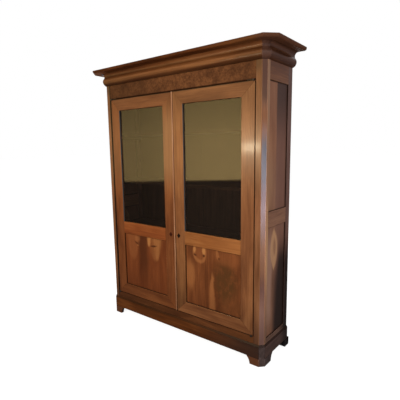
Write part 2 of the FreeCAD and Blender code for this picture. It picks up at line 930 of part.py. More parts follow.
def plinth_profile():
    outer = s.plinth_projection.value
    inner = outer - s.plinth_thickness.value
    bottom = s.foot_height.value
    top = s.plinth_height.value
    shoulder = top - s.plinth_bevel.value
    corners = [(inner, bottom), (outer, bottom), (outer, shoulder), (0, top), (inner, top), (inner, bottom)]
    return lines([Vector(projection, height, 0) for projection, height in corners])


def cornice_profile():
    """A round below that turns smoothly into a hollow under the cap."""
    bottom = carcass_top.value
    top = bottom + cornice_height.value
    round_radius = s.bulge_radius.value
    hollow_radius = s.cove_radius.value
    seat = -s.cornice_seat.value
    round_centre = Vector(-s.bulge_setback.value, bottom + round_radius, 0)
    rise = s.curve_rise.value
    across = math.sqrt((round_radius + hollow_radius) ** 2 - rise**2)
    hollow_centre = round_centre + Vector(across, rise, 0)
    turn = math.atan2(rise, across)
    round_middle = (turn - math.pi / 2) / 2
    hollow_middle = math.pi - (math.pi / 2 - turn) / 2
    meeting = round_centre + at_angle(round_radius, turn)
    round_start = round_centre + at_angle(round_radius, -math.pi / 2)
    hollow_end = hollow_centre + at_angle(hollow_radius, math.pi / 2)
    round_arc = Part.Arc(round_start, round_centre + at_angle(round_radius, round_middle), meeting)
    hollow_arc = Part.Arc(meeting, hollow_centre + at_angle(hollow_radius, hollow_middle), hollow_end)
    back = lines([hollow_end, Vector(seat, top, 0), Vector(seat, bottom, 0), round_start])
    return [round_arc.toShape(), hollow_arc.toShape(), *back], hollow_end.x


def at_angle(radius, angle):
    return Vector(radius * math.cos(angle), radius * math.sin(angle), 0)


def front_foot():
    """A corner block with a bracket under each plinth board, and the plinth's canted corner on top."""
    outer = s.plinth_projection.value
    inner = outer - s.plinth_thickness.value
    sweep = s.foot_sweep.value
    height = s.foot_height.value
    front_end = front_corner.x - s.foot_length.value - sweep
    side_end_y = side_corner.y + s.foot_depth.value + sweep
    corners = [
        Vector(front_end, -outer, 0),
        front_corner + front_mitre * outer,
        side_corner + side_mitre * outer,
        Vector(half_body.value + outer, side_end_y, 0),
        Vector(half_body.value + inner, side_end_y, 0),
        side_corner + side_mitre * inner,
        front_corner + front_mitre * inner,
        Vector(front_end, -inner, 0),
    ]
    block = upright_block(corners, 0, height)
    front_way = (Vector(front_end, -outer, 0), Vector(1, 0, 0), Vector(0, outer - inner, 0))
    side_tip = Vector(half_body.value + inner, side_end_y, 0)
    side_way = (side_tip, Vector(0, -1, 0), Vector(outer - inner, 0, 0))
    for end, towards, across in (front_way, side_way):
        block = block.cut(bracket_curve(end, towards, across, sweep, height))
    corner = corner_run.moulding(plinth_profile(), inner, outer)
    return block.fuse(corner).removeSplitter()


def bracket_curve(end, towards, across, sweep, height):
    """What the curved end of a bracket leaves open, from its tip at the top to its toe on the floor."""
    tip = end + Vector(0, 0, height)
    toe = end + towards * sweep
    chord = toe - tip
    inwards = Vector(towards.x * height, towards.y * height, sweep).normalize()
    middle = tip + chord * 0.5 + inwards * s.foot_hollow.value
    edges = [Part.Arc(tip, middle, toe).toShape(), *lines([toe, end, tip])]
    return Part.Face(Part.Wire(edges)).extrude(across)


plinth_outer = s.plinth_projection.value
plinth_inner = plinth_outer - s.plinth_thickness.value
plinth_front = feature("PlinthFront", front_run.moulding(plinth_profile(), plinth_inner, plinth_outer))
plinth_side = feature("PlinthSide", side_run.moulding(plinth_profile(), plinth_inner, plinth_outer))
hand_in(plinth_front, "plinth_front")
hand_in_pair(plinth_side, "plinth_side")
hand_in_pair(feature("FrontFoot", front_foot()), "front_foot")

# The rear feet stand out a little past the plinth, to the side and behind
rear_foot_outer = half_body + s.rear_foot_projection
rear_foot = board(
    "RearFoot",
    (rear_foot_outer - s.rear_foot_width, rear_end - s.rear_foot_depth, ZERO),
    (rear_foot_outer, rear_end, s.foot_height),
)
hand_in(group("RearFeet", [rear_foot, mirrored(rear_foot, "LeftRearFoot")]), "rear_feet")

profile, hollow_outer = cornice_profile()
seat_inner = -s.cornice_seat.value
for run, label in ((corner_run, "cornice_corner"), (side_run, "cornice_side")):
    hand_in_pair(feature(label.title(), run.moulding(profile, seat_inner, hollow_outer)), label)
hand_in(feature("CorniceFront", front_run.moulding(profile, seat_inner, hollow_outer)), "cornice_front")


# Cap of the cornice
def cornice_cap():
    body = new_body("CorniceCap")
    half_cap = half_body + s.cap_projection
    cant_start = half_cap - s.cap_cant
    front = -s.cap_projection
    outline = [
        (-cant_start, front),
        (cant_start, front),
        (half_cap, front + s.cap_cant),
        (half_cap, s.body_depth),
        (-half_cap, s.body_depth),
        (-half_cap, front + s.cap_cant),
    ]
    slab = pad(body, "XY_Plane", outline, cap_bottom, s.cap_thickness)
    doc.recompute()
    rounded = body.newObject("PartDesign::Fillet", "RoundedEdge")
    names = [
        f"Edge{number}"
        for number, edge in enumerate(slab.Shape.Edges, start=1)
        if is_exposed_lower_edge(edge)
    ]
    rounded.Base = (slab, names)
    bind(rounded, "Radius", s.cap_thickness - s.cap_fascia)
    return body


def is_exposed_lower_edge(edge):
    """True for the edges of the cap's underside, apart from the one along the back."""
    low = all(abs(vertex.Z - cap_bottom.value) < 1e-6 for vertex in edge.Vertexes)
    along_back = all(abs(vertex.Y - s.body_depth.value) < 1e-6 for vertex in edge.Vertexes)
    return low and not along_back


hand_in(cornice_cap(), "cornice_cap")

doc.recompute()
for item in doc.Objects:
    if {"Invalid", "Error"} & set(item.State):
        raise RuntimeError(f"{item.Label} failed: {item.State}")
for piece in parts:
    if piece.Shape.isNull() or not piece.Shape.isValid() or not piece.Shape.Solids:
        raise RuntimeError(f"{piece.Label} has no sound shape")

os.makedirs("parts", exist_ok=True)
for piece in parts:
    piece.Shape.exportStep(f"parts/{piece.Label}.step")
print(f"{len(parts)} pieces written")
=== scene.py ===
import json
import math
from functools import partial

import bmesh
import bpy
from mathutils import Matrix, Vector
from mathutils.bvhtree import BVHTree


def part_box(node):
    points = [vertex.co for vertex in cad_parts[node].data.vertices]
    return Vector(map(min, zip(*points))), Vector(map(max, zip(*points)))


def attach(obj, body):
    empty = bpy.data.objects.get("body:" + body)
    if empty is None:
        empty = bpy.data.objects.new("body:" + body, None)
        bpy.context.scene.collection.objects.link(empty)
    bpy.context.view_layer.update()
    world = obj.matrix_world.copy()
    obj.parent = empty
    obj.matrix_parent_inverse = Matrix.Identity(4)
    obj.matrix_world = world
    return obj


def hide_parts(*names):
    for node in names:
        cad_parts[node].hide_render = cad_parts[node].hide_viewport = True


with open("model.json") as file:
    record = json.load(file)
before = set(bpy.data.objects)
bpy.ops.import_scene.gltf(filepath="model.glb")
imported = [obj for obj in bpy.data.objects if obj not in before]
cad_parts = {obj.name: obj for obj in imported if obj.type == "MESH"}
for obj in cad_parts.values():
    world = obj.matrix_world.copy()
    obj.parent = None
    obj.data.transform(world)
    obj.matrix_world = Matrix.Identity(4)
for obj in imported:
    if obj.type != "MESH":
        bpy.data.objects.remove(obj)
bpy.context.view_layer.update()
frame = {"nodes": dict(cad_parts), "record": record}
nodes = frame["nodes"]
record = frame["record"]
body_of = {node: body for body, members in record["behaviour"]["bodies"].items() for node in members}

# Sizes, in metres
# The front of the posts; the middle of the bookcase's depth is at 0
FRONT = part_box("right_front_post")[0].y
# How far the canted corners of the posts are cut back
CANT = 0.028
# How far painted shade spreads in from the edges of a panel
EDGE_SHADE_WIDTH = 0.008
# How deep the grain of polished wood is
GRAIN_DEPTH = 0.0003
# How close another piece counts as touching, and as lying across a door's gap
TOUCH = 0.0010
DOOR_GAP = 0.0080
# How far behind a face the search for pieces in front of it starts
SEARCH_START = 0.0003
# How far that search moves in from an edge, as a share of the way to the middle of its face
SEARCH_INSET = 0.2
# Points that are closer than this are one point
SAME_POINT = 0.00002
# The shortest edge that is rounded
SHORTEST_ROUNDED = 0.012

# The kinds of edges, each with the mark that its rounding gets and how far it is rounded
FREE_EDGE, GAP_EDGE, JOINT_EDGE = range(3)
ROUNDINGS = (
    (FREE_EDGE, "worn", 0.0020),
    # A rounding along a gap is darkened as painted shade, and one at a joint as a dark joint
    (GAP_EDGE, "joint", 0.0028),
    (JOINT_EDGE, "joint", 0.0008),
)
# The shares of that width that are tried in turn, for edges with little room
WIDTH_SHARES = (1.0, 0.5, 0.25)
# How many times its width a rounding needs along the edges beside it
ROOM = 2.1

# Angles between two faces that are flat, strips of one moulding, sharp enough to round, or shaded as one
FLAT_ANGLE = math.radians(0.5)
STRIP_ANGLE_MIN = math.radians(1)
STRIP_ANGLE_MAX = math.radians(25)
SHARP_ANGLE = math.radians(30)
SMOOTH_ANGLE = math.radians(35)

# From 0 to 1, how much painted shade darkens narrow edges and faces close to another piece, and top edges
# of the base
EDGE_AND_GAP_SHADE = 0.9
LEDGE_SHADE = 0.8
# The normal of a narrow edge has less than this along the shown way
EDGE_LEAN = 0.3
# The normal of a ledge has more than this upwards
LEDGE_LEAN = 0.2
# Pieces with a sloping top edge that is darkened with painted shade
LEDGES = {
    "plinth_front",
    "left_plinth_side",
    "right_plinth_side",
    "left_front_foot",
    "right_front_foot",
}

# How many upright boards the back is made of
BACK_BOARD_COUNT = 4
# How many different seeds the pieces can have
SEED_COUNT = 97
# How far the grain is shifted, so that one piece doesn't look like the next
PIECE_SHIFT = 40.0
DOOR_PANEL_SHIFT = 3.0
SIDE_PANEL_SHIFT = 7.0
BACK_BOARD_SHIFT = 3.7


# Colours
def tone(red, green, blue):
    """A colour given as it looks on screen, turned into light."""
    def light(level):
        level /= 255
        return level / 12.92 if level <= 0.04045 else ((level + 0.055) / 1.055) ** 2.4
    return (light(red), light(green), light(blue), 1.0)


# Dirt, painted shade and painted shadow
# Dark brown: dirt in joints and pores, and painted shade in gaps, recesses, low down and at dim ends
DIRT_AND_SHADE = tone(34, 18, 10)
# Grey: a painted reflection and shade on the reveal beside the left side of each pane
SHADED_REVEAL_GREY = tone(80, 80, 80)
# Near black: a painted shadow low down at the back of the right side
LOW_REAR_SHADOW = tone(34, 27, 25)
# Doors; each finish has a dark, a middle and a light tone
DOOR = (tone(100, 58, 33), tone(133, 82, 48), tone(162, 107, 65))
MEETING = (tone(106, 63, 35), tone(142, 89, 51), tone(172, 116, 69))
LEFT_DOOR = (tone(92, 48, 22), tone(124, 69, 35), tone(152, 91, 49))
TOP_RAIL = (tone(90, 50, 26), tone(117, 70, 40), tone(142, 91, 54))
LEFT_TOP_RAIL = (tone(85, 44, 22), tone(111, 63, 35), tone(134, 82, 48))
RAIL = (tone(116, 64, 29), tone(148, 88, 43), tone(178, 114, 62))
LEFT_RAIL = (tone(108, 52, 22), tone(138, 72, 33), tone(164, 94, 47))
# The bead is paler than the doors beside it: a painted highlight along its round
BEAD = (tone(139, 90, 60), tone(172, 120, 85), tone(198, 149, 112))
# A painted glare on the left door's stiles at eye level
EYE_LEVEL_GLARE = tone(176, 130, 86)
# Door panels
PANEL_DARK = tone(78, 39, 17)
PANEL_RED = tone(142, 81, 42)
PANEL = (PANEL_DARK, tone(110, 60, 29), PANEL_RED)
PANEL_ORANGE = tone(124, 54, 18)
PANEL_PALE = tone(160, 99, 54)
PANEL_BRIGHT = tone(194, 130, 72)
PANEL_OLIVE = tone(88, 54, 25)
# Posts and sides
POST = (tone(92, 54, 31), tone(122, 77, 47), tone(152, 102, 66))
REAR = (tone(70, 48, 39), tone(104, 73, 61), tone(129, 94, 80))
SIDE = (tone(92, 60, 43), tone(124, 85, 64), tone(152, 110, 84))
SIDE_LOW = (tone(96, 66, 53), tone(129, 94, 78), tone(158, 121, 102))
# Darker tones for the side's top rail: painted shade
SIDE_TOP = (tone(76, 44, 25), tone(104, 62, 36), tone(130, 83, 50))
# Painted shade and shadow on the posts, the sides and the plinth
SIDE_SHADE = tone(46, 35, 31)
SIDE_PLUM = tone(118, 82, 69)
SIDE_PALE = tone(164, 122, 90)
SIDE_WARM = tone(160, 104, 70)
SIDE_GOLD = tone(186, 140, 101)
# Cornice and frieze
MOULDING = (tone(77, 41, 18), tone(107, 61, 30), tone(137, 85, 45))
CORNER = (tone(58, 36, 27), tone(82, 53, 41), tone(106, 73, 58))
CORNICE_SIDE = (tone(50, 26, 11), tone(72, 39, 18), tone(100, 59, 32))
CAP = (tone(54, 25, 9), tone(77, 38, 14), tone(106, 58, 27))
# A painted highlight on the round of the cornice moulding
ROUND_HIGHLIGHT = tone(158, 104, 64)
BURR = (tone(73, 41, 22), tone(96, 57, 32), tone(120, 75, 43))
BURR_EYE = tone(58, 33, 17)
BURR_WORN = tone(150, 98, 62)
# Base
BASE_RAIL = (tone(62, 33, 15), tone(86, 48, 23), tone(112, 66, 35))
PLINTH = (tone(64, 33, 12), tone(93, 49, 20), tone(120, 68, 30))
PLINTH_SIDE = (tone(61, 46, 41), tone(87, 66, 59), tone(114, 90, 81))
FOOT = (tone(53, 42, 40), tone(75, 61, 58), tone(99, 82, 79))
FOOT_BLOCK = tone(98, 57, 33)
BLACK_FOOT = (tone(16, 15, 15), tone(26, 24, 24), tone(40, 37, 37))
# Inlays, inside, back and metal
EBONY = (tone(10, 6, 5), tone(18, 11, 8), tone(30, 20, 15))
RED_INLAY = (tone(38, 14, 8), tone(56, 20, 10), tone(80, 32, 18))
STAINED = ((0.34, tone(30, 18, 12)), (0.66, tone(62, 40, 26)))
STAINED_WORN = tone(96, 66, 44)
RAW = (tone(80, 58, 40), tone(108, 82, 57), tone(134, 105, 76))
STEEL = ((0.25, tone(52, 42, 35)), (0.75, tone(104, 94, 86)))
CLEAR_GLASS = (0.90, 0.92, 0.88, 1.0)


# Shader sums and nodes
class Term:
    """A shader socket that can be used in sums; each operator adds a Math node."""

    def __init__(self, finish, socket):
        self.finish = finish
        self.socket = socket

    def sum(self, operation, first, second):
        return self.finish.node("ShaderNodeMath", {"operation": operation}, {0: first, 1: second})

    def __add__(self, other):
        return self.sum("ADD", self, other)

    def __radd__(self, other):
        return self.sum("ADD", other, self)

    def __sub__(self, other):
        return self.sum("SUBTRACT", self, other)

    def __rsub__(self, other):
        return self.sum("SUBTRACT", other, self)

    def __mul__(self, other):
        return self.sum("MULTIPLY", self, other)

    def __rmul__(self, other):
        return self.sum("MULTIPLY", other, self)

    def __truediv__(self, other):
        return self.sum("DIVIDE", self, other)

    def __pow__(self, other):
        return self.sum("POWER", self, other)

    def at_least(self, other):
        return self.sum("MAXIMUM", self, other)

    def at_most(self, other):
        return self.sum("MINIMUM", self, other)

    def size(self):
        return self.sum("ABSOLUTE", self, 0.0)

    def floor(self):
        return self.sum("FLOOR", self, 0.0)


class Finish:
    """A material and the nodes that make it up."""

    def __init__(self, name):
        self.material = bpy.data.materials.new(name)
        self.material.use_nodes = True
        self.tree = self.material.node_tree
        self.tree.nodes.clear()

    def node(self, kind, settings, inputs, output=0):
        """Adds a node, sets it up, fills its sockets and gives back one of its outputs."""
        made = self.tree.nodes.new(kind)
        for name, value in settings.items():
            if name == "stops":
                self.fill_ramp(made.color_ramp, value)
            else:
                setattr(made, name, value)
        for name, value in inputs.items():
            self.plug(made.inputs[name], value)
        return Term(self, made.outputs[output])

    def plug(self, socket, value):
        """Links a term to a socket, or sets the socket to a constant."""
        if isinstance(value, Term):
            self.tree.links.new(value.socket, socket)
        else:
            socket.default_value = value

    def fill_ramp(self, ramp, stops):
        while len(ramp.elements) < len(stops):
            ramp.elements.new(1.0)
        for element, (place, colour) in zip(ramp.elements, stops):
            element.position = place
            element.color = colour

    def place(self):
        """The point being coloured, in metres."""
        point = self.node("ShaderNodeTexCoord", {}, {}, "Object")
        return [self.node("ShaderNodeSeparateXYZ", {}, {"Vector": point}, axis) for axis in "XYZ"]

    def attribute(self, name):
        return self.node("ShaderNodeAttribute", {"attribute_name": name}, {}, "Fac")

    def vector(self, x, y, z):
        return self.node("ShaderNodeCombineXYZ", {}, {"X": x, "Y": y, "Z": z})

    def noise(self, point, scale=1.0, detail=3.0, roughness=0.5, distortion=0.0):
        inputs = {
            "Vector": point,
            "Scale": scale,
            "Detail": detail,
            "Roughness": roughness,
            "Distortion": distortion,
        }
        return self.node("ShaderNodeTexNoise", {}, inputs, "Fac")

    def ramp(self, amount, *stops):
        return self.node("ShaderNodeValToRGB", {"stops": stops}, {"Fac": amount}, "Color")

    def tones(self, amount, palette, spread=0.16):
        """A palette's dark, middle and light tone, spread evenly around an amount of one half."""
        dark, middle, light = palette
        return self.ramp(amount, (0.5 - spread, dark), (0.5, middle), (0.5 + spread, light))

    def step(self, amount, low, high):
        """Rises smoothly from 0 at low to 1 at high, or falls where low is the larger."""
        inputs = {"Value": amount, "From Min": low, "From Max": high}
        return self.node("ShaderNodeMapRange", {"interpolation_type": "SMOOTHSTEP"}, inputs, "Result")

    def band(self, amount, middle, reach, core):
        """1 where the amount is within the core of a middle value, falling to 0 at the reach."""
        return self.step((amount - middle).size(), reach, core)

    def mix(self, amount, first, second):
        return self.node("ShaderNodeMix", {"data_type": "RGBA"}, {0: amount, 6: first, 7: second}, 2)

    def surface(self, colour, roughness, bump=None, bump_depth=0.0, **constants):
        """One shader; its constants are set on its own sockets."""
        inputs = {"Base Color": colour, "Roughness": roughness}
        if bump is not None:
            bump_inputs = {"Height": bump, "Distance": bump_depth, "Strength": 1.0}
            inputs["Normal"] = self.node("ShaderNodeBump", {}, bump_inputs, "Normal")
        for name, value in constants.items():
            inputs[name.replace("_", " ").title().replace("Ior", "IOR")] = value
        return self.node("ShaderNodeBsdfPrincipled", {}, inputs)

    def finish_with(self, shader):
        """Makes a shader the material's surface."""
        end = self.tree.nodes.new("ShaderNodeOutputMaterial")
        self.plug(end.inputs["Surface"], shader)

    def finish_with_dirt_and_shade(self, shader, amount, colour):
        """Covers a shader with a matt dark coat of dirt and painted shade, where the amount is 1."""
        dark_coat = self.surface(colour, 0.9, specular_ior_level=0.05)
        self.finish_with(self.node("ShaderNodeMixShader", {}, {0: amount, 1: shader, 2: dark_coat}))


class Grain:
    """Walnut grain: slow cloudy drifts, swaying streaks and fine pores, each between 0 and 1."""

    def __init__(self, paint, run, first, second):
        sway = paint.noise(paint.vector(run * 1.4, first * 3.0, second * 3.0), detail=2.0) * 0.06
        first = first + sway
        second = second + sway
        drift_point = paint.vector(run * 2.2, first * 12.0, second * 12.0)
        streak_point = paint.vector(run * 2.4, first * 105.0, second * 105.0)
        pore_point = paint.vector(run * 35.0, first * 1100.0, second * 1100.0)
        pore = paint.noise(pore_point, detail=2.0)
        self.drift = paint.noise(drift_point, detail=4.0, roughness=0.55)
        self.streak = paint.noise(streak_point, detail=5.0, roughness=0.65)
        self.pits = paint.step(pore, 0.44, 0.30)
        self.relief = self.streak * 0.6 + pore * 0.4

    def shade(self, drift_share=0.6):
        """Drifts and streaks in one amount."""
        return self.drift * drift_share + self.streak * (1.0 - drift_share)


def along_grain(paint, along):
    """The point as (along the grain, across it, across it), shifted for each piece by its own seed."""
    shift = paint.attribute("seed") * PIECE_SHIFT
    x, y, z = [part + shift for part in paint.place()]
    return {"X": (x, y, z), "Y": (y, x, z), "Z": (z, x, y)}[along]


# Walnut
def no_patches(paint):
    """For a piece that is of one colour all over."""
    return ()


def walnut(
    name,
    along,
    palette,
    gloss=0.24,
    specular=0.4,
    coat=0.0,
    low_shade=0.0,
    wear=0.55,
    patches=no_patches,
    glazed_stile=None,
):
    """Straight-grained walnut under old polish, with paler worn arrises, dark joints, and painted shade in
    gaps and on narrow edges.
    """
    paint = Finish(name)
    dark = palette[0]
    light = palette[2]
    run, first, second = along_grain(paint, along)
    grain = Grain(paint, run, first, second)
    flame_point = paint.vector(run * 1.7, first * 34.0, second * 34.0)
    flame = paint.noise(flame_point, detail=4.0, roughness=0.6, distortion=0.6)
    colour = paint.tones(grain.shade(), palette)
    colour = paint.mix(paint.step(flame, 0.46, 0.30) * 0.45, colour, dark)
    colour = paint.mix(grain.pits * 0.40, colour, dark)
    # Painted shade: darker towards the bottom
    if low_shade:
        height = paint.place()[2]
        colour = paint.mix(paint.step(height, 1.05, 0.20) * low_shade, colour, DIRT_AND_SHADE)
    for amount, patch_colour in patches(paint):
        colour = paint.mix(amount * (0.5 + grain.streak), colour, patch_colour)
    worn = paint.attribute("worn")
    colour = paint.mix(worn * wear, colour, light)
    roughness = gloss + grain.streak * 0.12 - worn * 0.04
    polish = paint.surface(
        colour,
        roughness,
        grain.relief,
        GRAIN_DEPTH,
        specular_ior_level=specular,
        coat_weight=coat,
        coat_roughness=0.12,
    )
    # Dark joints, and painted shade in gaps, on narrow edges and on ledges; beside a pane, a grey painted
    # reflection and shade
    dirt_and_shade_amount = paint.attribute("joint") * 0.85
    dirt_and_shade_colour = DIRT_AND_SHADE
    if glazed_stile:
        pane_edge_shade = beside_pane(paint, glazed_stile)
        dirt_and_shade_amount = dirt_and_shade_amount.at_least(pane_edge_shade)
        dirt_and_shade_colour = paint.mix(pane_edge_shade, DIRT_AND_SHADE, SHADED_REVEAL_GREY)
    paint.finish_with_dirt_and_shade(polish, dirt_and_shade_amount, dirt_and_shade_colour)
    return paint.material


def beside_pane(paint, glazed_stile):
    """1 on the edge of a stile that meets the left side of a pane, where a grey painted reflection and
    shade lies.
    """
    x, y, z = paint.place()
    pane_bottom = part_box("right_door_middle_rail")[1].z
    at_edge = paint.band(x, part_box(glazed_stile)[1].x, 0.0025, 0.0005)
    return at_edge * paint.step(z, pane_bottom - 0.004, pane_bottom)


def on_the_right(paint):
    """1 on the right-hand half of the bookcase, where the painted shadow is, and 0 on the left."""
    return paint.step(paint.place()[0], -0.01, 0.01)


# Patches of walnut pieces; each patch is an amount from 0 to 1 and a colour, with places in metres
def post_patches(paint):
    """A corner post: painted light and shade in lengths on its front, its canted edge and its outer side,
    and painted shade along the left door's gap.
    """
    x, y, z = paint.place()
    outer_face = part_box("right_front_post")[1].x
    past_cant = x.size() - (outer_face - CANT) - (y - FRONT)
    cant = paint.step(past_cant, -0.0020, -0.0008)
    yield cant * 0.5, DIRT_AND_SHADE
    yield cant * paint.band(z, 1.70, 0.18, 0.05) * 0.5, SIDE_WARM
    yield cant * paint.step(z, 1.80, 1.98) * 0.85, PANEL_DARK
    yield cant * paint.band(z, 0.80, 0.34, 0.12) * 0.5, SIDE_SHADE
    yield cant * paint.step(z, 0.62, 0.36) * 0.4, SIDE_LOW[2]
    outer = paint.step(x.size(), outer_face - 0.004, outer_face - 0.001)
    yield outer * 0.8, SIDE_PALE
    yield outer * paint.band(z, 0.88, 0.40, 0.12) * 0.8, SIDE_GOLD
    yield outer * paint.step(z, 0.62, 0.28) * 0.55, SIDE_LOW[1]
    yield paint.step(z, 0.45, 0.18) * 0.4, SIDE_SHADE
    front = paint.step(y, FRONT + 0.004, FRONT + 0.001)
    yield front * paint.step(z, 1.96, 2.05) * 0.6, DIRT_AND_SHADE
    yield front * paint.band(z, 1.10, 0.16, 0.06) * 0.3, SIDE_WARM
    left_front = front * paint.step(x, 0.0, -0.1)
    yield left_front * paint.band(z, 1.50, 0.45, 0.15) * 0.35, SIDE_WARM
    left_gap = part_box("left_front_post")[1].x
    yield paint.band(x, left_gap, 0.012, 0.006), DIRT_AND_SHADE


def left_stile_patches(paint):
    """A stile of the left door, with a painted glare at eye level, darker near its top and lower down
    towards the middle, and a painted shadow along the gap on its hinge side.
    """
    x, y, z = paint.place()
    nearer_middle = paint.step(x, -0.60, -0.10)
    yield paint.band(z, 1.55, 0.42, 0.12) * (0.12 + nearer_middle * 0.34), EYE_LEVEL_GLARE
    yield paint.step(z, 1.78, 1.92) * 0.10, DIRT_AND_SHADE
    yield nearer_middle * paint.band(z, 1.00, 0.24, 0.08) * 0.14, DIRT_AND_SHADE
    left_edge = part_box("left_hinge_stile")[0].x
    yield paint.step(x, left_edge + 0.010, left_edge + 0.005), DIRT_AND_SHADE


def right_stile_patches(paint):
    """A stile of the right door, dim towards its top and at its foot."""
    height = paint.place()[2]
    yield paint.step(height, 1.58, 1.90) * 0.26, DIRT_AND_SHADE
    yield paint.step(height, 0.50, 0.28) * 0.28, DIRT_AND_SHADE


def top_rail_patches(paint):
    """A door's top rail, dimmer towards its top edge, with a painted shadow along the gap above it."""
    below_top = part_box("right_door_top_rail")[1].z - paint.place()[2]
    yield paint.step(below_top, 0.085, 0.020) * 0.09, DIRT_AND_SHADE
    yield paint.step(below_top, 0.007, 0.002) * 0.8, DIRT_AND_SHADE


def middle_rail_patches(paint):
    """The right door's middle rail, dim at its left end and pale at its right end."""
    across = paint.place()[0]
    yield paint.step(across, 0.32, 0.08) * 0.16, DIRT_AND_SHADE
    yield paint.step(across, 0.25, 0.62) * 0.5, RAIL[2]


def bottom_rail_patches(paint):
    """The right door's bottom rail, dimmer towards its right end."""
    yield paint.step(paint.place()[0], 0.35, 0.68) * 0.16, DIRT_AND_SHADE


def base_rail_patches(paint):
    """The rail under the doors, paler towards its right end."""
    yield paint.step(paint.place()[0], 0.15, 0.70) * 0.35, BASE_RAIL[2]


def rear_stile_patches(paint):
    """A rear stile, black with a painted shadow in its lower part and dim at its top."""
    height = paint.place()[2]
    yield paint.step(height, 0.92, 0.64) * on_the_right(paint), LOW_REAR_SHADOW
    yield paint.step(height, 1.55, 1.95) * 0.30, DIRT_AND_SHADE


def low_side_patches(paint):
    """A low board of the side, black with a painted shadow towards the back."""
    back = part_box("right_rear_stile")[1].y
    yield paint.step(paint.place()[1], back - 0.17, back - 0.03) * on_the_right(paint) * 0.9, LOW_REAR_SHADOW


def moulding_patches(paint):
    """A moulding with painted highlights on its round and near its top, painted shade in its hollow and
    under the round, and darker at its ends.
    """
    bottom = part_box("cornice_front")[0].z
    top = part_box("cornice_front")[1].z
    x, y, z = paint.place()
    share = (z - bottom) / (top - bottom)
    yield paint.band(share, 0.72, 0.14, 0.04) * 0.4, DIRT_AND_SHADE
    yield paint.band(share, 0.43, 0.14, 0.02) * 0.55, ROUND_HIGHLIGHT
    yield paint.step(share, 0.30, 0.08) * 0.6, DIRT_AND_SHADE
    yield paint.band(share, 0.82, 0.16, 0.06) * paint.step(x, 0.0, 0.3) * 0.2, ROUND_HIGHLIGHT
    yield paint.step(x, -0.25, -0.65) * 0.25, DIRT_AND_SHADE
    yield paint.step(x, 0.45, 0.76) * paint.step(share, 0.75, 0.60) * 0.35, DIRT_AND_SHADE


def cap_patches(paint):
    """The cap, with a painted highlight underneath at its left end, lighter towards the right and grey at
    its right end.
    """
    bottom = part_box("cornice_cap")[0].z
    x, y, z = paint.place()
    underside = paint.step(z, bottom + 0.004, bottom + 0.001)
    yield underside * paint.step(x, -0.66, -0.76) * 0.6, SIDE_WARM
    yield paint.step(x, 0.30, 0.62) * 0.33, MOULDING[2]
    yield paint.step(x, 0.72, 0.80) * 0.6, CORNER[1]


def plinth_patches(paint):
    """The front board of the plinth, with painted shade towards its right end."""
    yield paint.step(paint.place()[0], 0.05, 0.80) * 0.85, SIDE_SHADE


def foot_patches(paint):
    """The front of a foot's bracket, of redder wood than the plinth above it."""
    front_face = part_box("right_front_foot")[0].y
    plinth_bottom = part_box("plinth_front")[0].z
    x, y, z = paint.place()
    low = paint.step(z, plinth_bottom + 0.002, plinth_bottom - 0.002)
    yield low * paint.step(y, front_face + 0.008, front_face + 0.003) * 0.9, FOOT_BLOCK


# Figured veneer
def tongue(paint, across, height, middle, root, tip, half_width, softness=0.5):
    """Figure that is widest at its root and comes to a soft rounded point at its tip."""
    reach = ((height - tip) / (root - tip)).at_least(0.0)
    width = reach**0.55 * half_width + 0.002
    inside = paint.step((across - middle).size() / width, 1.0 + softness, 1.0 - softness)
    return inside * paint.step(reach, 0.0, 0.25)


def oval_reach(across, height, place, half_width, half_height, turn=0.0):
    """How far a point is from the middle of an oval that is turned by some degrees; 1 is its edge."""
    side = across - place[0]
    rise = height - place[1]
    cosine = math.cos(math.radians(turn))
    sine = math.sin(math.radians(turn))
    along = side * cosine + rise * sine
    square = rise * cosine - side * sine
    return ((along / half_width) ** 2.0 + (square / half_height) ** 2.0) ** 0.5


def leaf_reach(across, height, place, half_width, half_height):
    """The same for a leaf that is pointed at both ends."""
    return ((across - place[0]) / half_width).size() + ((height - place[1]) / half_height) ** 2.0


def oval(paint, across, height, place, half_width, half_height, turn=0.0):
    """A soft-edged oval patch."""
    return paint.step(oval_reach(across, height, place, half_width, half_height, turn), 1.3, 0.5)


def left_door_figure(paint, across, height):
    """Redder wood, with two pale tongues hanging from the top and a dark band between them."""
    spot = partial(oval, paint, across, height)
    hanging = partial(tongue, paint, across, height)
    yield 0.3, PANEL_ORANGE
    yield paint.band(across, -0.028, 0.085, 0.025) * paint.step(height, -0.26, 0.05) * 0.85, PANEL_DARK
    yield hanging(-0.155, 0.240, -0.020, 0.075, 0.45) * 0.75, PANEL_RED
    yield spot((-0.095, 0.205), 0.030, 0.028) * 0.45, PANEL_PALE
    yield spot((-0.108, 0.165), 0.032, 0.009, -30) * 0.85, PANEL_DARK
    yield spot((-0.094, 0.146), 0.012, 0.009) * 0.6, PANEL_PALE
    yield hanging(0.118, 0.240, 0.020, 0.070, 0.7) * 0.42, PANEL_PALE
    yield hanging(0.142, 0.215, 0.030, 0.036, 0.6) * 0.3, PANEL_BRIGHT
    yield hanging(0.048, 0.240, 0.150, 0.024, 0.6) * 0.65, PANEL_BRIGHT
    yield spot((0.100, 0.166), 0.036, 0.009, 4) * 0.9, PANEL_DARK


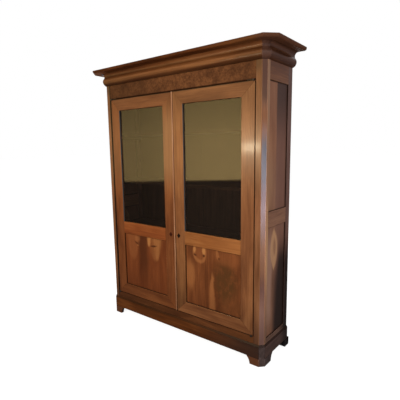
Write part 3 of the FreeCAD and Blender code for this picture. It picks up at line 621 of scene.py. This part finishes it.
def right_door_figure(paint, across, height):
    """A pale ring with two knots at the top, a second small figure beside it, and one upright flame."""
    spot = partial(oval, paint, across, height)
    mottle_point = paint.vector(across * 30.0, 0.0, height * 17.0)
    mottle = paint.noise(mottle_point, detail=4.0, roughness=0.6, distortion=0.4)
    broken = 0.5 + paint.step(mottle, 0.32, 0.66) * 0.5
    yield spot((0.115, 0.010), 0.115, 0.160) * broken, PANEL_OLIVE
    yield paint.step(across, 0.02, 0.10) * paint.step(height, -0.02, -0.20) * broken * 0.5, PANEL_OLIVE
    yield paint.step(across, -0.02, 0.08) * paint.step(mottle, 0.50, 0.32) * 0.25, PANEL_RED
    yield spot((-0.215, 0.000), 0.050, 0.130) * 0.75, PANEL_PALE
    ring = oval_reach(across, height, (-0.119, 0.192), 0.053, 0.072)
    yield paint.step(ring, 1.0, 0.6) * 0.6, PANEL_RED
    yield paint.step(ring, 1.35, 1.05) * paint.step(ring, 0.65, 0.95) * 0.8, PANEL_PALE
    yield spot((-0.076, 0.212), 0.014, 0.030) * 0.75, PANEL_BRIGHT
    yield spot((-0.164, 0.214), 0.013, 0.026) * 0.65, PANEL_BRIGHT
    yield spot((-0.162, 0.170), 0.016, 0.009, -30) * 0.9, PANEL_DARK
    yield spot((-0.078, 0.174), 0.010, 0.011) * 0.9, PANEL_DARK
    yield spot((0.150, 0.186), 0.110, 0.065) * 0.55, PANEL_RED
    yield spot((0.052, 0.206), 0.016, 0.042, 14) * 0.6, PANEL_PALE
    yield spot((0.066, 0.178), 0.010, 0.012) * 0.7, PANEL_DARK
    yield tongue(paint, across, height, 0.000, -0.245, 0.085, 0.022) * 0.8, PANEL_PALE


def panel_edge_shade(paint, colour, distances):
    """Painted shade along the edges of a panel, where its frame shades it, given the distances to them."""
    nearest = distances[0]
    for distance in distances[1:]:
        nearest = nearest.at_most(distance)
    return paint.mix(paint.step(nearest, EDGE_SHADE_WIDTH, EDGE_SHADE_WIDTH * 0.25) * 0.85, colour, DIRT_AND_SHADE)


def door_panel_veneer(name, side, figure):
    """Veneer laid with its grain upright, and one figure of its own, seen within the door's frame."""
    paint = Finish(name)
    stiles = [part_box(f"{side}_hinge_stile"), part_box(f"{side}_meeting_stile")]
    left_box, right_box = sorted(stiles, key=lambda stile: stile[0].x)
    left = left_box[1].x
    right = right_box[0].x
    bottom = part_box(f"{side}_door_bottom_rail")[1].z
    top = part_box(f"{side}_door_middle_rail")[0].z
    x, y, z = paint.place()
    across = x - (left + right) / 2
    height = z - (bottom + top) / 2
    grain = Grain(paint, z, across + (left + DOOR_PANEL_SHIFT), y)
    wobble = paint.noise(paint.vector(across * 9.0, 0.0, height * 6.0)) - 0.5
    colour = paint.tones(grain.shade(), PANEL, 0.18)
    for amount, patch in figure(paint, across + wobble * 0.05, height + wobble * 0.04):
        colour = paint.mix(amount * (0.5 + grain.streak), colour, patch)
    colour = paint.mix(grain.pits * 0.35, colour, PANEL_DARK)
    # Painted shade: darker towards the bottom, and along the edges where the frame shades the panel
    colour = paint.mix(paint.step(height, -0.02, -0.26) * 0.25, colour, PANEL_DARK)
    colour = panel_edge_shade(paint, colour, (x - left, right - x, z - bottom, top - z))
    roughness = 0.34 + grain.streak * 0.14
    paint.finish_with(paint.surface(colour, roughness, grain.relief, GRAIN_DEPTH, specular_ior_level=0.35))
    return paint.material


def upper_side_figure(paint, grain, depth, wobble, height):
    """Faded in the middle of its front part, dark behind a straight upright line, and with a painted
    shadow high up at the back under the top rail.
    """
    yield oval(paint, depth, height, (0.020, 1.360), 0.070, 0.300) * 0.55, SIDE_PALE
    rear = paint.step(depth + wobble * 0.2, 0.114, 0.128)
    yield (1.0 - rear) * paint.step(height, 1.30, 1.60) * 0.4, SIDE_WARM
    yield rear * 0.7, SIDE_PLUM
    yield rear * paint.step(height, 1.50, 1.90) * 0.75, SIDE_SHADE


def lower_side_figure(paint, grain, depth, wobble, height):
    """Pale at the front, with painted shade low down and a black painted shadow low down at the back, and
    one pale leaf with a darker heart.
    """
    wavy = depth + wobble
    yield paint.step(wavy, 0.08, 0.16) * 0.6, SIDE_PLUM
    yield paint.step(wavy, 0.05, 0.14) * paint.step(height, 0.74, 0.55) * 0.45, SIDE_SHADE
    yield paint.step(wavy, 0.10, 0.05) * paint.band(height, 0.62, 0.42, 0.20) * 0.8, SIDE_LOW[2]
    black = paint.step(wavy + (0.75 - height) * 0.09, 0.13, 0.21) * paint.step(height, 0.93, 0.70)
    yield black * on_the_right(paint) * 0.95, LOW_REAR_SHADOW
    flicker = depth + wobble * 0.5 + (grain.streak - 0.5) * 0.05
    rim = leaf_reach(flicker, height, (0.108, 0.820), 0.058, 0.158)
    yield paint.step(rim, 1.15, 0.75) * (0.5 + grain.streak * 0.7), SIDE_GOLD
    heart = leaf_reach(flicker, height, (0.116, 0.838), 0.024, 0.075)
    yield paint.step(heart, 1.2, 0.4) * 0.6, SIDE[1]


def side_panel_veneer(name, below, above, figure):
    """Faded veneer of a side panel, between the rails below and above it."""
    paint = Finish(name)
    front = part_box("right_front_post")[1].y
    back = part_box("right_rear_stile")[0].y
    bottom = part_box(f"right_{below}")[1].z
    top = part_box(f"right_{above}")[0].z
    x, y, z = paint.place()
    depth = y - front
    grain = Grain(paint, z, y + SIDE_PANEL_SHIFT, x)
    wobble = (paint.noise(paint.vector(y * 6.0, 0.0, z * 2.0), detail=2.0) - 0.5) * 0.06
    colour = paint.tones(grain.shade(), SIDE, 0.18)
    for amount, patch in figure(paint, grain, depth, wobble, z):
        colour = paint.mix(amount, colour, patch)
    colour = paint.mix(grain.pits * 0.35, colour, SIDE[0])
    # Painted shade along the edges, where the frame shades the panel
    colour = panel_edge_shade(paint, colour, (depth, back - y, z - bottom, top - z))
    roughness = 0.36 + grain.streak * 0.14
    paint.finish_with(paint.surface(colour, roughness, grain.relief, GRAIN_DEPTH, specular_ior_level=0.3))
    return paint.material


def burr_walnut(name):
    """Mottled veneer: small dark eyes in swirling brown."""
    paint = Finish(name)
    x, y, z = paint.place()
    point = paint.vector(x, y, z)
    cloud = paint.noise(point, scale=14.0, detail=3.0, roughness=0.6)
    swirl = paint.noise(point, scale=62.0, detail=6.0, roughness=0.75, distortion=0.3)
    eyes = paint.noise(point, scale=120.0, detail=4.0, roughness=0.65, distortion=0.3)
    colour = paint.tones(cloud * 0.45 + swirl * 0.55, BURR, 0.11)
    colour = paint.mix(paint.step(eyes, 0.47, 0.36) * 0.32, colour, BURR_EYE)
    ends = paint.step(x, 0.35, 0.80) * 0.22 + paint.step(x, 0.00, -0.40) * 0.36
    colour = paint.mix(ends, colour, DIRT_AND_SHADE)
    colour = paint.mix(paint.attribute("worn") * 0.5, colour, BURR_WORN)
    veneer = paint.surface(colour, 0.40 + eyes * 0.12, eyes, bump_depth=0.0002, specular_ior_level=0.15)
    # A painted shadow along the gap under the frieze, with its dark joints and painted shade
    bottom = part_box("frieze_board")[0].z
    gap_shadow = paint.step(z, bottom + 0.010, bottom + 0.003)
    paint.finish_with_dirt_and_shade(veneer, paint.attribute("joint").at_least(gap_shadow) * 0.8, DIRT_AND_SHADE)
    return paint.material


# Inside, back, metal and glass
def finish_dull(paint, grain, colour, bump_depth):
    """Matt wood that has not been polished."""
    roughness = 0.80 + grain.streak * 0.1
    paint.finish_with(paint.surface(colour, roughness, grain.relief, bump_depth, specular_ior_level=0.03))
    return paint.material


def inside_wood(name):
    """Dull stained boards that the doors close in."""
    paint = Finish(name)
    grain = Grain(paint, *along_grain(paint, "X"))
    colour = paint.ramp(grain.shade(0.4), *STAINED)
    colour = paint.mix(paint.attribute("worn") * 0.3, colour, STAINED_WORN)
    return finish_dull(paint, grain, colour, bump_depth=0.0004)


def back_board_wood(name):
    """Upright boards with dark lines between them, stained inside the case and raw at the back."""
    paint = Finish(name)
    low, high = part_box("back_boards")
    x, y, z = paint.place()
    board = (x - low.x) / ((high.x - low.x) / BACK_BOARD_COUNT)
    index = board.floor()
    grain = Grain(paint, z + index * BACK_BOARD_SHIFT, x, y)
    stained = paint.ramp(grain.shade(0.4), *STAINED)
    raw = paint.tones(grain.shade(0.5), RAW)
    colour = paint.mix(paint.step(y, high.y - 0.004, high.y - 0.002), stained, raw)
    colour = paint.mix(grain.pits * 0.4, colour, DIRT_AND_SHADE)
    from_middle = (board - index - 0.5).size()
    colour = paint.mix(paint.step(from_middle, 0.480, 0.497) * 0.8, colour, DIRT_AND_SHADE)
    return finish_dull(paint, grain, colour, bump_depth=0.0005)


def old_steel(name):
    """Dull steel, browner in patches."""
    paint = Finish(name)
    point = paint.vector(*paint.place())
    patch = paint.noise(point, scale=160.0, detail=4.0, roughness=0.6, distortion=0.5)
    colour = paint.ramp(patch, *STEEL)
    paint.finish_with(paint.surface(colour, 0.40 + patch * 0.3, patch, bump_depth=0.0001, metallic=0.85))
    return paint.material


def window_glass(name):
    """Clear old glass: very slightly wavy."""
    paint = Finish(name)
    x, y, z = paint.place()
    wave = paint.noise(paint.vector(x * 3.0, y, z * 1.2), detail=1.0, roughness=0.4)
    pane = paint.surface(CLEAR_GLASS, 0.01, wave, bump_depth=0.0004, transmission_weight=1.0, ior=1.5)
    paint.finish_with(pane)
    return paint.material


# Which finish each piece has, by the end of its name
right_stile_walnut = walnut(
    "door_walnut_upright", "Z", DOOR, coat=0.15, low_shade=0.05, patches=right_stile_patches
)
left_stile_walnut = walnut(
    "left_door_walnut_upright",
    "Z",
    LEFT_DOOR,
    low_shade=0.15,
    patches=left_stile_patches,
    glazed_stile="left_hinge_stile",
)
meeting_stile_walnut = walnut(
    "meeting_stile_walnut",
    "Z",
    MEETING,
    low_shade=0.4,
    patches=right_stile_patches,
    glazed_stile="right_meeting_stile",
)
moulding = walnut("moulding_walnut_across", "X", MOULDING, specular=0.28, patches=moulding_patches)
cap = walnut("cap_walnut", "X", CAP, gloss=0.45, specular=0.10, wear=0.85, patches=cap_patches)
plinth = walnut("plinth_walnut_across", "X", PLINTH, specular=0.25, wear=0.2, patches=plinth_patches)
plinth_side = walnut(
    "plinth_walnut_deep", "Y", PLINTH_SIDE, specular=0.25, wear=0.2, patches=low_side_patches
)
inside = inside_wood("inside_wood")
steel = old_steel("old_steel")
# Pieces that are shown as eased copies
FINISH_OF_EASED = {
    "front_post": walnut("post_walnut", "Z", POST, coat=0.15, low_shade=0.1, patches=post_patches),
    "rear_stile": walnut("rear_stile_walnut", "Z", REAR, patches=rear_stile_patches),
    "side_top_rail": walnut("side_top_walnut", "Y", SIDE_TOP),
    "side_middle_rail": walnut("side_walnut_deep", "Y", SIDE, low_shade=0.55),
    "side_bottom_rail": walnut("side_walnut_low", "Y", SIDE_LOW, low_shade=0.55, patches=low_side_patches),
    "left_hinge_stile": left_stile_walnut,
    "right_hinge_stile": right_stile_walnut,
    "left_meeting_stile": left_stile_walnut,
    "right_meeting_stile": meeting_stile_walnut,
    "meeting_bead": walnut("bead_walnut", "Z", BEAD, low_shade=0.3),
    "left_door_top_rail": walnut("left_top_rail_walnut", "X", LEFT_TOP_RAIL, patches=top_rail_patches),
    "right_door_top_rail": walnut("top_rail_walnut", "X", TOP_RAIL, patches=top_rail_patches),
    "left_door_middle_rail": walnut("left_bright_walnut_across", "X", LEFT_RAIL),
    "right_door_middle_rail": walnut("bright_walnut_across", "X", RAIL, patches=middle_rail_patches),
    "left_door_bottom_rail": walnut("left_door_walnut_across", "X", LEFT_DOOR, low_shade=0.25),
    "right_door_bottom_rail": walnut(
        "door_walnut_across", "X", DOOR, low_shade=0.15, patches=bottom_rail_patches
    ),
    "frieze_board": burr_walnut("burr_walnut"),
    "front_bottom_rail": walnut("base_rail_walnut", "X", BASE_RAIL, patches=base_rail_patches),
    "cornice_front": moulding,
    "cornice_corner": walnut("moulding_walnut_corner", "X", CORNER, specular=0.3),
    "cornice_side": walnut("moulding_walnut_deep", "Y", CORNICE_SIDE),
    "cornice_cap": cap,
    "plinth_front": plinth,
    "plinth_side": plinth_side,
    "front_foot": walnut("foot_walnut", "X", FOOT, specular=0.3, wear=0.5, patches=foot_patches),
    "rear_feet": walnut("black_foot_wood", "Z", BLACK_FOOT, gloss=0.5, specular=0.2),
    "right_escutcheon": walnut("ebonised_wood", "Z", EBONY, gloss=0.45, specular=0.15),
    "left_escutcheon": walnut("red_inlay", "Z", RED_INLAY, gloss=0.45, specular=0.15),
    "middle_shelf": inside,
    "upper_shelf": inside,
    "top_shelf": inside,
    "bottom_board": inside,
    "top_board": inside,
}
# Pieces that are shown as the solids are
FINISH_OF_PLAIN = {
    "door_glass": window_glass("window_glass"),
    "left_door_panel": door_panel_veneer("left_door_veneer", "left", left_door_figure),
    "right_door_panel": door_panel_veneer("right_door_veneer", "right", right_door_figure),
    "side_upper_panel": side_panel_veneer(
        "side_upper_veneer", "side_middle_rail", "side_top_rail", upper_side_figure
    ),
    "side_lower_panel": side_panel_veneer(
        "side_lower_veneer", "side_bottom_rail", "side_middle_rail", lower_side_figure
    ),
    "pivot_plates": steel,
    "lock_case": steel,
    "lock_bolt": steel,
    "door_bolt": steel,
    "glazing_beads": right_stile_walnut,
    "shelf_cleats": inside,
    "back_boards": back_board_wood("back_board_wood"),
}
# The way that the shown face of a frame member looks; its other faces are narrow edges
SHOW_AXIS = {
    "hinge_stile": "y",
    "meeting_stile": "y",
    "door_top_rail": "y",
    "door_middle_rail": "y",
    "door_bottom_rail": "y",
    "rear_stile": "x",
    "side_top_rail": "x",
    "side_middle_rail": "x",
    "side_bottom_rail": "x",
}


def by_ending(table, node):
    """The entry of a table for the end of a node's name."""
    for ending, entry in table.items():
        if node.endswith(ending):
            return entry
    return None


def dress(piece, material):
    """Gives a piece one material all over."""
    piece.data.materials.clear()
    piece.data.materials.append(material)


# Eased copies
def piece_tree(node):
    """A search tree of a piece's faces."""
    form = bmesh.new()
    form.from_mesh(nodes[node].data)
    tree = BVHTree.FromBMesh(form)
    form.free()
    return tree


def piece_seed(node):
    """A number between 0 and 1 that is fixed for each piece by its name."""
    return sum(ord(letter) * (place + 1) for place, letter in enumerate(node)) % SEED_COUNT / SEED_COUNT


def is_covered(face, point, others, reach):
    """Whether another piece lies within reach in front of a point on a face."""
    start = point - face.normal * SEARCH_START
    return any(tree.ray_cast(start, face.normal, reach)[0] is not None for tree in others)


def faces_near(form, others, reach):
    """The faces of a piece that have another piece within reach in front of their middle."""
    return {face for face in form.faces if is_covered(face, face.calc_center_median(), others, reach)}


def is_along_gap(edge, others):
    """Whether another piece lies just across a gap from one side of an edge."""
    middle = (edge.verts[0].co + edge.verts[1].co) / 2
    for face in edge.link_faces:
        if is_covered(face, middle.lerp(face.calc_center_median(), SEARCH_INSET), others, DOOR_GAP):
            return True
    return False


def is_ledge(node, face):
    """Whether a face is a top edge that is darkened with painted shade."""
    return node in LEDGES and face.normal.z > LEDGE_LEAN


def is_moulded(face):
    """Whether a face is one strip of a rounded moulding."""
    pairs = [edge for edge in face.edges if len(edge.link_faces) == 2]
    return any(STRIP_ANGLE_MIN < edge.calc_face_angle() < STRIP_ANGLE_MAX for edge in pairs)


def is_rounded(form, face):
    """Whether a face is part of a rounding that has been made already."""
    return any(face[form.faces.layers.float.get(mark)] == 1.0 for mark in ("worn", "joint"))


def is_outer_edge(edge):
    """Whether an edge is a sharp outer one and long enough to be rounded."""
    if len(edge.link_faces) != 2 or edge.calc_length() < SHORTEST_ROUNDED:
        return False
    return edge.is_convex and edge.calc_face_angle() > SHARP_ANGLE


def has_room(form, edge, width):
    """Whether an outer edge has long enough edges beside it for a rounding of this width."""
    if not is_outer_edge(edge) or any(is_rounded(form, face) for face in edge.link_faces):
        return False
    neighbours = [other for vertex in edge.verts for other in vertex.link_edges if other != edge]
    return min(other.calc_length() for other in neighbours) > ROOM * width


def mark_piece(form, node, show_axis):
    """Marks a form with its seed, its faces of painted shade, its moulded faces and the kinds of its
    edges.
    """
    seed = form.verts.layers.float.new("seed")
    for vertex in form.verts:
        vertex[seed] = piece_seed(node)
    form.faces.layers.float.new("worn")
    # Dark joints and painted shade, from 0 to 1
    joint_and_shade_layer = form.faces.layers.float.new("joint")
    curved = form.faces.layers.int.new("curved")
    kind = form.edges.layers.int.new("kind")
    others = [tree for other, tree in TREES.items() if other != node]
    touching = faces_near(form, others, TOUCH)
    near = faces_near(form, others, DOOR_GAP)
    for face in form.faces:
        face[curved] = is_moulded(face)
        if face in near or show_axis and abs(getattr(face.normal, show_axis)) < EDGE_LEAN:
            face[joint_and_shade_layer] = EDGE_AND_GAP_SHADE
        if is_ledge(node, face):
            face[joint_and_shade_layer] = LEDGE_SHADE
    for edge in form.edges:
        if any(face in touching or is_ledge(node, face) for face in edge.link_faces):
            edge[kind] = JOINT_EDGE
        elif is_along_gap(edge, others):
            edge[kind] = GAP_EDGE


def round_over(form, wanted, mark, width):
    """Rounds the edges of one kind that have room, and marks the new faces to be worn or darkened."""
    kind = form.edges.layers.int.get("kind")
    edges = [edge for edge in form.edges if edge[kind] == wanted and has_room(form, edge, width)]
    layer = form.faces.layers.float.get(mark)
    rounded = bmesh.ops.bevel(
        form,
        geom=edges,
        offset=width,
        offset_type="OFFSET",
        affect="EDGES",
        segments=2,
        profile=0.5,
        material=-1,
        clamp_overlap=True,
    )
    for face in rounded["faces"]:
        face[layer] = 1.0


def smooth_rounded_faces(form):
    """Mouldings and worn arrises are shaded smooth, and flat faces stay flat."""
    curved = form.faces.layers.int.get("curved")
    for face in form.faces:
        face.smooth = is_rounded(form, face) or face[curved] == 1
    for edge in form.edges:
        rounded = any(is_rounded(form, face) for face in edge.link_faces)
        if len(edge.link_faces) == 2 and not rounded:
            edge.smooth = edge.calc_face_angle() < SMOOTH_ANGLE


def eased_copy(node, show_axis):
    """A copy of a sawn piece: outer arrises worn round, joints left as fine dark lines, and painted shade
    along its gaps.
    """
    piece = bpy.data.objects.new(f"eased_{node}", nodes[node].data.copy())
    bpy.context.scene.collection.objects.link(piece)
    polished_pieces.objects.link(piece)
    form = bmesh.new()
    form.from_mesh(piece.data)
    bmesh.ops.remove_doubles(form, verts=form.verts[:], dist=SAME_POINT)
    bmesh.ops.dissolve_limit(form, angle_limit=FLAT_ANGLE, verts=form.verts[:], edges=form.edges[:])
    mark_piece(form, node, show_axis)
    for wanted, mark, width in ROUNDINGS:
        for share in WIDTH_SHARES:
            round_over(form, wanted, mark, width * share)
    bmesh.ops.dissolve_degenerate(form, dist=SAME_POINT, edges=form.edges[:])
    smooth_rounded_faces(form)
    for layers, helper in ((form.edges.layers.int, "kind"), (form.faces.layers.int, "curved")):
        layers.remove(layers.get(helper))
    form.to_mesh(piece.data)
    form.free()
    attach(piece, body_of[node])
    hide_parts(node)
    return piece


TREES = {node: piece_tree(node) for node in nodes}
# The wood that the glare lamp shines on; the panes do not mirror that lamp
polished_pieces = bpy.data.collections.new("polished_pieces")
for node in sorted(nodes):
    eased_material = by_ending(FINISH_OF_EASED, node)
    if eased_material:
        dress(eased_copy(node, by_ending(SHOW_AXIS, node)), eased_material)
    else:
        dress(nodes[node], by_ending(FINISH_OF_PLAIN, node))


# Floor, reflection cards and backdrop
WHITE = (1, 1, 1, 1)
BLACK = (0, 0, 0, 1)
FLOOR_GREY = (0.35, 0.35, 0.35, 1)
# How brightly the floor glows where it is seen
FLOOR_LIFT = 0.88
FLOOR_REACH = 60.0
FLOOR_CARD_REACH = 16.0
FLOOR_CARD_RISE = 0.004
# The share of its brightness at which the backdrop lights matt surfaces
BACKDROP_ON_MATT = 0.36
CARD_HEIGHT = 4.0
# The front card is dark up to this height and warm above it, with a soft border of this half width
WARM_FROM = 1.045
BORDER = 0.016
# Where the front card starts to dim towards its left end, and where it is dimmest
GLOW_FALL = (-1.1, -2.5)
# Colours of the cards by height, in metres
DIM = (0.078, 0.052, 0.038, 1)
FRONT_GLOW = (
    (0.0, DIM),
    (WARM_FROM - BORDER, DIM),
    (WARM_FROM + BORDER, (1.0, 0.68, 0.28, 1)),
    (1.68, (0.95, 0.65, 0.27, 1)),
    (2.40, (0.55, 0.38, 0.155, 1)),
)
SIDE_GLOW = (
    (0.0, (0.05, 0.04, 0.045, 1)),
    (1.20, (0.16, 0.13, 0.14, 1)),
    (2.40, (0.30, 0.25, 0.26, 1)),
)
FLOOR_GLOW = ((0.0, (0.06, 0.045, 0.04, 1)),)
SHEEN_GLOW = (
    (0.05, (0.05, 0.03, 0.05, 1)),
    (0.46, (0.10, 0.07, 0.10, 1)),
    (0.61, (0.48, 0.23, 0.13, 1)),
    (0.80, (0.62, 0.34, 0.23, 1)),
    (1.08, (0.82, 0.76, 0.90, 1)),
    (1.20, (0.58, 0.54, 0.68, 1)),
    (1.30, (0.43, 0.60, 0.80, 1)),
    (1.52, (0.12, 0.35, 0.55, 1)),
    (1.72, BLACK),
)


def stage_card(name, corners, material):
    """A flat card of the studio, given by its corners."""
    form = bmesh.new()
    form.faces.new([form.verts.new(corner) for corner in corners])
    card = bpy.data.objects.new(name, bpy.data.meshes.new(name))
    form.to_mesh(card.data)
    form.free()
    bpy.context.scene.collection.objects.link(card)
    dress(card, material)
    return card


def upright_card(name, left, right, height, material):
    """A card that stands on the floor, between two points of it."""
    return stage_card(name, [(*left, 0), (*right, 0), (*right, height), (*left, height)], material)


def seen_in_gloss_only(card):
    """Hides a card from everything but reflections, those from the far face of the glass among them."""
    card.visible_camera = False
    card.visible_diffuse = False
    card.visible_shadow = False
    card.data.materials[0].cycles.emission_sampling = "NONE"


def pale_floor(name):
    """A floor that is white to the eye and in reflections, but still darkens where it is in shadow."""
    paint = Finish(name)
    rays = ("Is Camera Ray", "Is Glossy Ray", "Is Transmission Ray")
    camera_ray, glossy_ray, clear_ray = [paint.node("ShaderNodeLightPath", {}, {}, ray) for ray in rays]
    seen = (camera_ray + glossy_ray + clear_ray).at_most(1.0)
    diffuse = paint.node("ShaderNodeBsdfDiffuse", {}, {"Color": FLOOR_GREY})
    glow = paint.node("ShaderNodeEmission", {}, {"Color": WHITE, "Strength": FLOOR_LIFT})
    both = paint.node("ShaderNodeAddShader", {}, {0: diffuse, 1: glow})
    paint.finish_with(paint.node("ShaderNodeMixShader", {}, {0: seen, 1: diffuse, 2: both}))
    return paint.material


def glow_by_height(name, colours, strength=1.0, left_dimming=0.0):
    """A card's light, coloured by height and dimmed towards its left end.

    Only a reflected ray sees the card; one that goes straight through a pane passes through it.
    """
    paint = Finish(name)
    x, y, z = paint.place()
    stops = [(height / CARD_HEIGHT, colour) for height, colour in colours]
    colour = paint.ramp(z / CARD_HEIGHT, *stops)
    colour = paint.mix(paint.step(x, *GLOW_FALL) * left_dimming, colour, BLACK)
    glow = paint.node("ShaderNodeEmission", {}, {"Color": colour, "Strength": strength})
    clear = paint.node("ShaderNodeBsdfTransparent", {}, {})
    reflected = paint.node("ShaderNodeLightPath", {}, {}, "Glossy Depth").at_most(1.0)
    paint.finish_with(paint.node("ShaderNodeMixShader", {}, {0: reflected, 1: clear, 2: glow}))
    return paint.material


floor_corners = [Vector(corner) for corner in ((-1, -1, 0), (1, -1, 0), (1, 1, 0), (-1, 1, 0))]
stage_card("floor", [corner * FLOOR_REACH for corner in floor_corners], pale_floor("pale_floor"))
# The polish and the glass see a warm card with a dark lower part in front, and dim cards beside and below
front_card = upright_card(
    "front_reflection_card",
    left=(-4.25, FRONT - 0.10),
    right=(1.30, FRONT - 4.40),
    height=CARD_HEIGHT,
    material=glow_by_height("warm_card", FRONT_GLOW, strength=2.45, left_dimming=0.53),
)
side_card = upright_card(
    "side_reflection_card",
    left=(0.9, 2.4),
    right=(5.0, 2.4),
    height=CARD_HEIGHT,
    material=glow_by_height("dim_card", SIDE_GLOW),
)
floor_card_rise = Vector((0, 0, FLOOR_CARD_RISE))
floor_card = stage_card(
    "floor_reflection_card",
    [corner * FLOOR_CARD_REACH + floor_card_rise for corner in floor_corners],
    glow_by_height("dim_floor", FLOOR_GLOW),
)
# A narrow card near the right-hand canted corner, blue above and rosy below, that only the post mirrors
sheen_card = upright_card(
    "sheen_reflection_card",
    left=(0.977, FRONT - 0.133),
    right=(1.009, FRONT - 0.071),
    height=1.8,
    material=glow_by_height("sheen_card", SHEEN_GLOW, strength=14.0),
)
canted_post = bpy.data.collections.new("canted_post")
canted_post.objects.link(bpy.data.objects["eased_right_front_post"])
sheen_card.light_linking.receiver_collection = canted_post
for card in (front_card, side_card, floor_card, sheen_card):
    seen_in_gloss_only(card)

world = bpy.data.worlds.new("studio")
bpy.context.scene.world = world
world.use_nodes = True
world.cycles.sampling_method = "NONE"
sky = world.node_tree.nodes
sky.clear()
path = sky.new("ShaderNodeLightPath")
after_matt = sky.new("ShaderNodeMapRange")
after_matt.inputs["To Min"].default_value = 1.0
after_matt.inputs["To Max"].default_value = BACKDROP_ON_MATT
backdrop = sky.new("ShaderNodeBackground")
backdrop.inputs["Color"].default_value = WHITE
world_out = sky.new("ShaderNodeOutputWorld")
links = world.node_tree.links
links.new(path.outputs["Diffuse Depth"], after_matt.inputs["Value"])
links.new(after_matt.outputs["Result"], backdrop.inputs["Strength"])
links.new(backdrop.outputs["Background"], world_out.inputs["Surface"])

# Lamps
WARM = (1.0, 0.95, 0.84)
GOLD = (1.0, 0.86, 0.58)
COOL = (0.94, 0.94, 1.0)
BIG_BOX = (1.6, 1.6)
SMALL_BOX = (1.2, 1.2)
GLARE_BOX = (0.24, 0.11)


def soft_light(name, place, target, size, colour, radiance, for_gloss=False):
    """A softbox that lights wood, or that only shows in gloss; radiance is how bright its face looks."""
    lamp = bpy.data.lights.new(name, "AREA")
    lamp.shape = "RECTANGLE"
    lamp.size, lamp.size_y = size
    lamp.energy = radiance * math.pi * size[0] * size[1]
    lamp.color = colour
    holder = bpy.data.objects.new(name, lamp)
    bpy.context.scene.collection.objects.link(holder)
    holder.location = place
    holder.rotation_euler = (Vector(target) - Vector(place)).to_track_quat("-Z", "Y").to_euler()
    holder.visible_camera = False
    holder.visible_diffuse = not for_gloss
    holder.visible_glossy = for_gloss
    holder.visible_transmission = for_gloss
    return holder


soft_light("key_light", (0.0, FRONT - 4.2, 2.0), (0, 0, 1.2), BIG_BOX, WARM, radiance=14.0)
soft_light("side_light", (2.7, FRONT - 0.6, 1.15), (0.78, 0, 1.15), SMALL_BOX, COOL, radiance=5.2)
soft_light("left_light", (-3.0, 0.5, 1.2), (-0.78, 0, 1.15), SMALL_BOX, COOL, radiance=5.2)
soft_light("back_light", (0.0, 4.4, 2.0), (0, 0, 1.2), BIG_BOX, WARM, radiance=9.0)
glare = soft_light(
    "polish_glare",
    (-0.50, FRONT - 2.1, 1.53),
    (0.68, FRONT, 1.53),
    GLARE_BOX,
    GOLD,
    radiance=90.0,
    for_gloss=True,
)
glare.light_linking.receiver_collection = polished_pieces

# Camera, at the photograph's viewing angle
FOCAL_PIXELS = 366.0
IMAGE_PIXELS = 400
CAMERA_PLACE = (1.8936, FRONT - 2.1385, 1.5360)
YAW = math.radians(-38.264)
PITCH = math.radians(-8.799)
ROLL = math.radians(-0.869)
forward = Vector((math.sin(YAW) * math.cos(PITCH), math.cos(YAW) * math.cos(PITCH), math.sin(PITCH)))
level = Vector((math.cos(YAW), -math.sin(YAW), 0))
overhead = level.cross(forward)
rightward = level * math.cos(ROLL) + overhead * math.sin(ROLL)
upward = overhead * math.cos(ROLL) - level * math.sin(ROLL)
lens = bpy.data.cameras.new("camera")
lens.sensor_width = 36.0
lens.lens = FOCAL_PIXELS / IMAGE_PIXELS * lens.sensor_width
lens.clip_start = 0.01
lens.shift_x = 0.0126
lens.shift_y = 0.0110
camera = bpy.data.objects.new("camera", lens)
turn = Matrix((rightward, upward, -forward)).transposed().to_4x4()
camera.matrix_world = Matrix.Translation(CAMERA_PLACE) @ turn
bpy.context.scene.collection.objects.link(camera)
bpy.context.scene.camera = camera
bpy.context.scene.view_settings.view_transform = "Standard"
